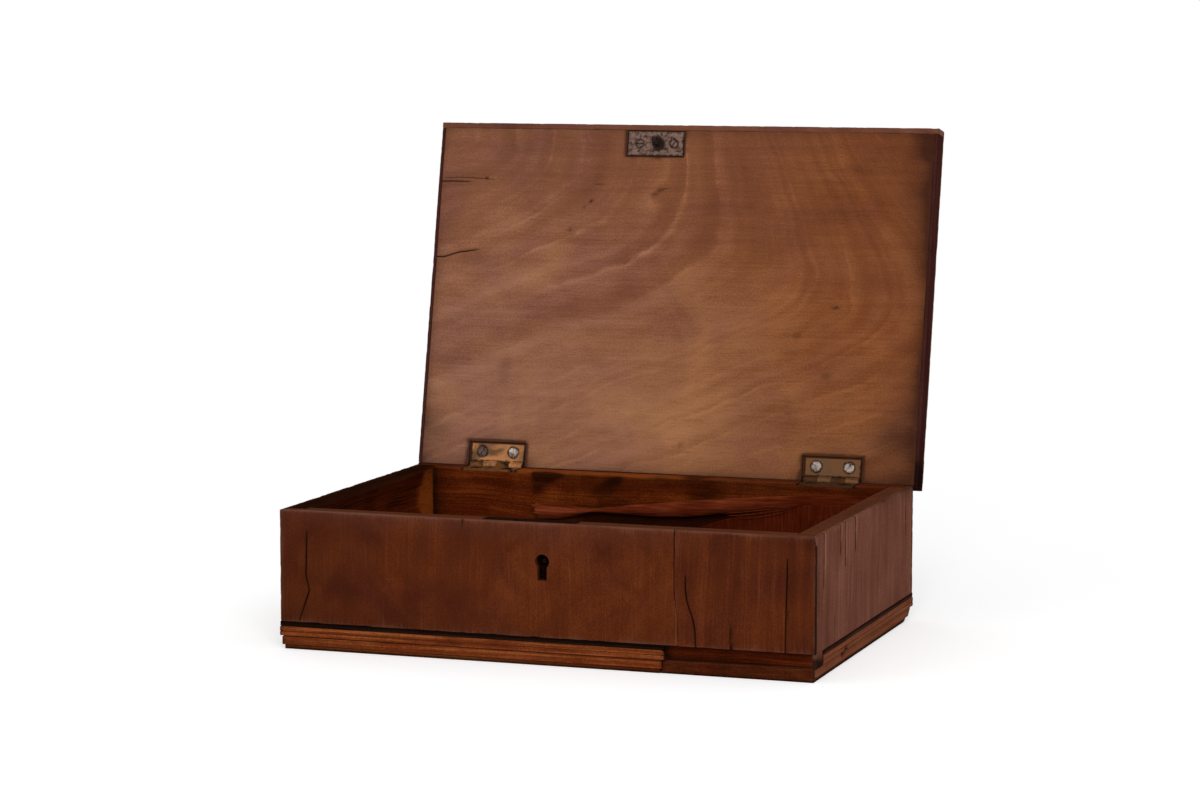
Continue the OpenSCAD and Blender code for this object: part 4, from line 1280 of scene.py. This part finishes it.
def lippingStainAndShadow(p):
    # Uneven dirt, and darkest at the corner behind the right hinge with a painted shadow between lid and
    # box
    # painted shadow between lid and box
    corner = spot((p[:, 0] - 131) / 6, upLid(p) / 12)
    return 0.1 + 0.3 * roughness(p, 15, 95) + corner


lidShape = {
    "show": "-z", "grain": "x", "outer": 0.2, "inner": 0.2, "arris": 0.8, "wave": 0.25, "chips": 0.3,
    "steps": (1.7, 1.5, 3), "wornWidth": 1.0, "seed": 41,
    "cracks": [
        split(0.26, 0.9, 4, 7, (-140, -58.1), (-131, -58.4), (-124, -58.6), (-116, -58.5), (-113, -58.5)),
        split(
            0.36, 1.3, 6, 14, (-140, -18.6), (-130.6, -19.1), (-126, -19.0), (-118, -21.6),
            (-106, -23.4),
        ),
        split(0.14, 0.25, 1.0, 7, (-130, -60.3), (-118, -60.6), (-110, -60.4), (-100, -59.7)),
    ],
}
lippingShape = {
    **lidShape, "cracks": [], "outer": 0.4, "inner": 0.12, "arris": 1.3, "chips": 0.9,
    "steps": (1.6, 1.6, 2.2), "wave": 0.15, "ragged": 0.5, "outline": 0.9,
}
linkScrews = [(x, linkPlate["screwY"]) for x in linkPlate["screwX"]]
linkMortise = block(linkPlate["low"], linkPlate["high"])

for name, make in (
    ("lid_board", {}),
    ("lid_front_lipping", {"grain": "x", "show": "-z"}), ("lid_back_lipping", {"grain": "x", "show": "-z"}),
    ("lid_left_lipping", {"grain": "y", "show": "-x"}), ("lid_right_lipping", {"grain": "y", "show": "+x"}),
    ("lid_veneer", {"grain": "x", "show": "+z"}),
):
    low, high = nodeBox(name, lid=True)
    shape = lidShape
    if make:
        shape = {**lippingShape, **make, "seed": 42 + len(name)}
    piece = makeBoard(camel(name), low, high, shape)
    if name in ("lid_board", "lid_front_lipping", "lid_back_lipping"):
        cutAway(piece, [hingeMortise(s * hinge["x"], True) for s in (-1, 1)] + [linkMortise])
    if name == "lid_board":
        cutAway(piece, screwHoles(hingeScrews + linkScrews, 2, 66, 8.2))
        rules = {"fade": lidFade, "tone": lidLightAndTone, "cool": lidCool, "lineStrength": lidLineStrength}
        dressWood(piece, low, high, shape, lidStainAndShade, lidFigure, **rules)
    else:
        dressWood(piece, low, high, shape, lippingStainAndShadow, lidFigure if name == "lid_front_lipping" else None)
    setPoints(piece, swung(getPoints(piece), -hinge["opened"]))
    finish = {
        "lid_board": lidWood, "lid_veneer": lidBackWood, "lid_front_lipping": rimWood,
    }.get(name, lippingWood)
    finishPiece(piece, finish, "lid", "lid_lipping" if "lipping" in name else name, name)
print("lid made")


# The torn lining.

clothLook = {"left": -63, "right": 118.4, "floor": 6.8, "belly": 5.5, "fold": 0.6, "thick": 0.18}
bandFoot = [
    (-66, 42.2), (-50, 42.6), (-40, 45), (-32, 47.2), (-21, 47), (5, 46.6), (21, 47.4), (35, 49.6),
    (77, 55.8), (119, 58),
]
skirtTop = [(12, 37.5), (25, 42.3), (35, 45.9), (43, 48.2), (60, 52.2), (77, 55.7), (119, 57.9)]
strands = [  # loose threads: from (across, up) to (across, up), how far they sag, width
    (36, 49.8, 77, 55.9, 0.5, 0.5), (40, 48.9, 74, 54.6, 0.9, 0.4), (46, 47.5, 71, 52.6, 0.6, 0.35),
    (-62.5, 50.9, -30, 49.2, 0.1, 0.35), (81.4, 48.0, 81.9, 43.2, 0.2, 0.3),
    (92.5, 58.2, 94.6, 51.5, 0.3, 0.3),
]


def bandTop(x):
    # A quarter wave that rises to the right from the place where the loose band is twisted
    rise = 12.5 * np.sin(np.pi / 2 * np.clip((x + 32) / 150, 0, 1))
    along = np.stack([x, 0 * x, 0 * x], 1)
    return 48.9 + rise + 0.05 * np.clip(-32 - x, 0, None) + 0.3 * roughness(along, 5, 101)


def clothDepth(x, z, loose):
    # Distance from the wall: upright folds over all of it, and a belly where it is loose
    place = np.stack([x, 0 * x, z], 1)
    folds = clothLook["fold"] * (1 + np.sin(np.radians(21 * x + 2 * z))) * (70 - z) / 60
    return 0.5 + folds + 0.35 * (1 + roughness(place * [0.25, 1, 1], 4, 103)) + clothLook["belly"] * loose


def bandPatch(u, v):
    # The torn upper band, from the ragged top down to its own foot
    x = clothLook["left"] + u * (clothLook["right"] - clothLook["left"])
    top, foot = bandTop(x), np.interp(x, *zip(*bandFoot))
    z = top + (foot - top) * v
    loose = (1 - ease(30, 80, x)) * (0.3 + 0.7 * np.sin(np.pi * (0.1 + 0.75 * v)))
    x = x + (1 - ease(0, 0.06, u)) * (1.2 * np.sin(31 * v) + 0.7 * np.sin(77 * v + 1) + 3.5 * v)
    return x, z, clothDepth(x, z, loose)


def skirtPatch(u, v):
    # The lower cloth at the right, whose torn left edge curls off the wall
    x = skirtTop[0][0] + u * (clothLook["right"] - skirtTop[0][0])
    top = np.interp(x, *zip(*skirtTop))
    z = top + (clothLook["floor"] - top) * v
    curl = 0.35 * np.exp(-v / 0.08) * (1 - ease(40, 78, x))
    return x, z, clothDepth(x, z, curl)


def strandPatch(strand):
    # A narrow ribbon on a sagging line, bowed off the cloth behind it
    x0, z0, x1, z1, sag, wide = strand

    def shape(u, v):
        x = x0 + (x1 - x0) * u + (wide * (v - 0.5) if abs(x1 - x0) < 4 else 0)
        z = z0 + (z1 - z0) * u - sag * np.sin(np.pi * u) - (0 if abs(x1 - x0) < 4 else wide * (v - 0.5))
        return x, z, clothDepth(x, z, 0.12 + 0.25 * np.sin(np.pi * u) + 0.5 * (1 - ease(30, 60, x)))

    return shape


def makeLining():
    # Every patch is an even grid; the band's threads run along it, the skirt's run down it
    patches = [(bandPatch, 400, 16, False), (skirtPatch, 200, 60, True)]
    patches += [(strandPatch(strand), 40, 3, False) for strand in strands]
    points, quads, lay, age = [], [], [], []
    for shape, across, down, upright in patches:
        u, v = np.meshgrid(np.linspace(0, 1, across), np.linspace(0, 1, down), indexing="ij")
        u, v = u.ravel(), v.ravel()
        x, z, depth = shape(u, v)
        ids = np.arange(across * down).reshape(across, down) + sum(len(p) for p in points)
        quads.append(np.stack([ids[:-1, :-1], ids[:-1, 1:], ids[1:, 1:], ids[1:, :-1]], -1).reshape(-1, 4))
        points.append(np.stack([x, cavity["y"] - depth, z], 1))
        lay.append(np.stack([z, x] if upright else [x, z], 1) * mm)
        # Painted light and shade: the loose flap at the left end stays bright, as lit, the rest of the band
        # goes half dull and its right end and the lower cloth dull, as in shade; the band is lighter along
        # its top and foot
        bandShade = 0.5 * ease(-35, -28, x) + 0.45 * ease(55, 85, x)
        edge = 0.35 * (np.exp(-v / 0.08) + 0.6 * np.exp(-(1 - v) / 0.1)) * (down > 3)
        age.append(1.0 + 0 * x if upright else bandShade - edge)
    points, quads, lay = np.concatenate(points), np.concatenate(quads), np.concatenate(lay)
    made = newObject("tornLining", points, quads.tolist())
    layer = made.data.uv_layers.new(name="cloth")
    corner = np.empty(len(made.data.loops), np.int32)
    made.data.loops.foreach_get("vertex_index", corner)
    layer.data.foreach_set("uv", lay[corner].ravel())
    setValue(made, "age", np.concatenate(age) + 0.2 * roughness(points, 9, 106))
    thick = made.modifiers.new("thickness", "SOLIDIFY")
    thick.thickness, thick.offset = clothLook["thick"] * mm, 0
    return made


def clothFinish(name):
    # Silk: a plain weave from two waves on the UV map, slubs and stains from noise, and painted light and
    # shade from a bright and a dull copy of its colours
    finish, tree, shader = startFinish(name)
    uv = put(tree, "UVMap", uv_map="cloth").outputs[0]
    thread = {"Vector": uv, "Scale": 900, "Distortion": 1.5, "Detail": 1}
    warp = put(tree, "TexWave", thread, bands_direction="X").outputs["Fac"]
    weft = put(tree, "TexWave", thread, bands_direction="Y").outputs["Fac"]
    slub = noise(tree, uv, 1, 3, 0.3, stretch=(70, 900, 1))
    stain = noise(tree, uv, 60, 4, 0.6)
    # the bright copy is the silk where it is painted as lit, the dull copy where it is painted as in shade
    bright = ramp(
        tree, slub, [(0.25, tint(83, 30, 13)), (0.5, tint(116, 49, 26)), (0.8, tint(146, 74, 44))],
    )
    dull = ramp(tree, slub, [(0.25, tint(62, 16, 4)), (0.5, tint(79, 25, 8)), (0.8, tint(100, 39, 17))])
    old = weighed(tree, [(stain, 0.8)], attribute(tree, "age"))
    colour = blendColour(tree, spread(tree, old, 0, 1), bright, dull)
    tree.links.new(colour, shader.inputs["Base Color"])
    shader.inputs["Roughness"].default_value = 0.6
    shader.inputs["Specular IOR Level"].default_value = 0.0
    height = calc(tree, "ADD", calc(tree, "MULTIPLY", warp, weft), calc(tree, "MULTIPLY", slub, 0.8))
    relief = put(tree, "Bump", {"Strength": 0.5, "Distance": 0.0002, "Height": height})
    tree.links.new(relief.outputs[0], shader.inputs["Normal"])
    return finish


lining = makeLining()
finishPiece(lining, clothFinish("liningSilk"), "body", "lining_cloth", "torn_lining", smooth=60)
print("lining made")


# Metal parts keep their frame meshes.

hingeBrass = metalFinish("hingeBrass", {
    "left": tint(182, 122, 76), "right": tint(112, 72, 40), "tarnish": tint(104, 72, 44),
    "rust": tint(56, 36, 22),
    "metal": 0.35, "rough": 0.5, "patchSize": 90, "rustFrom": 0.72, "soot": hingeShadeAndDirt, "gloss": 0.15,
})
lowBrass = metalFinish("lowHingeBrass", {
    "left": tint(128, 82, 46), "right": tint(80, 50, 31), "tarnish": tint(72, 48, 30),
    "rust": tint(40, 25, 16),
    "metal": 0.2, "rough": 0.6, "patchSize": 120, "rustFrom": 0.6, "soot": hingeShadeAndDirt, "gloss": 0.0,
})
screwSteel = metalFinish("screwSteel", {
    "left": tint(48, 35, 29), "right": tint(206, 192, 184), "tarnish": tint(106, 86, 76),
    "rust": tint(44, 30, 22),
    "metal": 0.2, "rough": 0.45, "patchSize": 190, "rustFrom": 0.62, "turn": (-0.093, -0.085),
    "soot": screwShadeAndDirt, "gloss": 0.15,
})
hiddenSteel = metalFinish("hiddenScrewSteel", {
    "left": tint(60, 44, 34), "right": tint(60, 44, 34), "tarnish": tint(44, 31, 24),
    "rust": tint(30, 20, 14),
    "metal": 0.1, "rough": 0.6, "patchSize": 190, "rustFrom": 0.6, "gloss": 0.0,
})
linkTin = metalFinish("linkPlateTin", {
    "left": tint(122, 96, 84), "right": tint(122, 96, 84), "tarnish": tint(84, 61, 51),
    "rust": tint(46, 28, 20),
    "metal": 0.25, "rough": 0.5, "patchSize": 520, "rustFrom": 0.6, "relief": 1.0, "soot": linkDarkMarks,
    "gloss": 0.15,
})
lockIron = metalFinish("lockIron", {
    "left": tint(30, 18, 12), "right": tint(30, 18, 12), "tarnish": tint(26, 15, 10),
    "rust": tint(42, 22, 13),
    "metal": 0.05, "rough": 0.65, "patchSize": 160, "rustFrom": 0.54, "relief": 0.8, "gloss": 0.0,
})
boltBrass = metalFinish("boltBrass", {
    "left": tint(166, 128, 78), "right": tint(166, 128, 78), "tarnish": tint(112, 84, 50),
    "rust": tint(60, 42, 26),
    "metal": 0.7, "rough": 0.38, "patchSize": 150, "rustFrom": 0.68,
})
for node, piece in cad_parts.items():
    finish = None
    if "leaf" in node:
        finish = hingeBrass if "lid" in node else lowBrass
    elif node in ("hinge_body_screws", "left_hinge_pin", "right_hinge_pin"):
        finish = hiddenSteel
    elif node.startswith("link_plate"):
        finish = linkTin
    elif "screws" in node:
        finish = screwSteel
    elif node == "lock_bolt":
        finish = boltBrass
    elif node.startswith("lock_") or node.endswith("_pin"):
        finish = lockIron
    if finish is not None:
        piece.material_slots[0].material = finish
print("metal finished")


# Floor, light and camera.

studio = {
    "world": 0.5, "key": 36.0, "keyPlace": (1.0, -2.4, 1.35), "keySize": 1.5, "fill": 6.0,
    "fillPlace": (-1.8, -1.8, 1.0), "floorGlow": 0.42,
}


def seenPlainly(tree):
    # 1 for rays from the camera and in mirrors and glass, 0 for the light that falls on things
    path = put(tree, "LightPath")
    mirrored = calc(tree, "MAXIMUM", path.outputs["Is Glossy Ray"], path.outputs["Is Transmission Ray"])
    return calc(tree, "MAXIMUM", path.outputs["Is Camera Ray"], mirrored)


def makeFloor():
    # A pale disc that takes the box's shadow and goes plain white away from it
    turn = np.linspace(0, 2 * np.pi, 72, endpoint=False)
    rings = [np.stack([r * np.cos(turn), r * np.sin(turn), 0 * turn - 0.02], 1) for r in (400, 2500, 9000)]
    n = len(turn)
    i = np.arange(n)
    j = (i + 1) % n
    bands = [np.stack([i + k * n, i + (k + 1) * n, j + (k + 1) * n, j + k * n], 1) for k in (0, 1)]
    made = newObject("floor", np.concatenate(rings), np.concatenate(bands).tolist() + [i.tolist()])
    finish, tree, shader = startFinish("paleFloor")
    paper = put(tree, "BsdfDiffuse", {"Color": (0.93, 0.93, 0.93, 1)}).outputs[0]
    glow = put(tree, "Emission", {"Strength": studio["floorGlow"]}).outputs[0]
    close = put(tree, "AddShader", {0: paper, 1: glow}).outputs[0]
    white = put(tree, "Emission", {"Strength": 1.0}).outputs[0]
    away = put(
        tree, "VectorMath", {0: put(tree, "TexCoord").outputs["Object"]}, operation="LENGTH",
    ).outputs["Value"]
    shown = put(tree, "MixShader", {0: spread(tree, away, 0.22, 0.6), 1: close, 2: white}).outputs[0]
    floor = put(tree, "MixShader", {0: seenPlainly(tree), 1: paper, 2: shown}).outputs[0]
    tree.links.new(floor, tree.nodes["Material Output"].inputs[0])
    tree.nodes.remove(shader)
    made.data.materials.append(finish)


def makeLamp(name, place, size, power):
    # A square soft lamp that faces the box
    lamp = bpy.data.lights.new(name, "AREA")
    lamp.size, lamp.energy = size, power
    made = bpy.data.objects.new(name, lamp)
    made.location = place
    way = np.array([0, 0, 0.08]) - np.array(place)
    made.rotation_euler = (math.atan2(math.hypot(way[0], way[1]), -way[2]), 0, math.atan2(-way[0], way[1]))
    bpy.context.scene.collection.objects.link(made)


def makeWorld():
    # An even grey sky for light, and plain white where the camera or a reflection sees it
    world = bpy.data.worlds.new("studioSky")
    bpy.context.scene.world = world
    world.use_nodes = True
    tree = world.node_tree
    sky = tree.nodes["Background"]
    tree.links.new(spread(tree, seenPlainly(tree), 0, 1, studio["world"], 1.0), sky.inputs["Strength"])
    sky.inputs["Color"].default_value = (1, 1, 1, 1)


makeFloor()
makeLamp("keyLamp", studio["keyPlace"], studio["keySize"], studio["key"])
makeLamp("fillLamp", studio["fillPlace"], 1.6, studio["fill"])
makeWorld()
bpy.context.scene.view_settings.view_transform = "Standard"

view = {"place": (0.53926, -1.55028, 0.30112), "turn": -0.33591, "tip": 0.11431, "lens": 103.93}
lens = bpy.data.cameras.new("camera")
lens.lens, lens.sensor_width, lens.clip_start, lens.clip_end = view["lens"], 36, 0.05, 60
camera = bpy.data.objects.new("camera", lens)
camera.location = view["place"]
camera.rotation_euler = (math.pi / 2 - view["tip"], 0, -view["turn"])
bpy.context.scene.collection.objects.link(camera)
bpy.context.scene.camera = camera

print("scene ready")
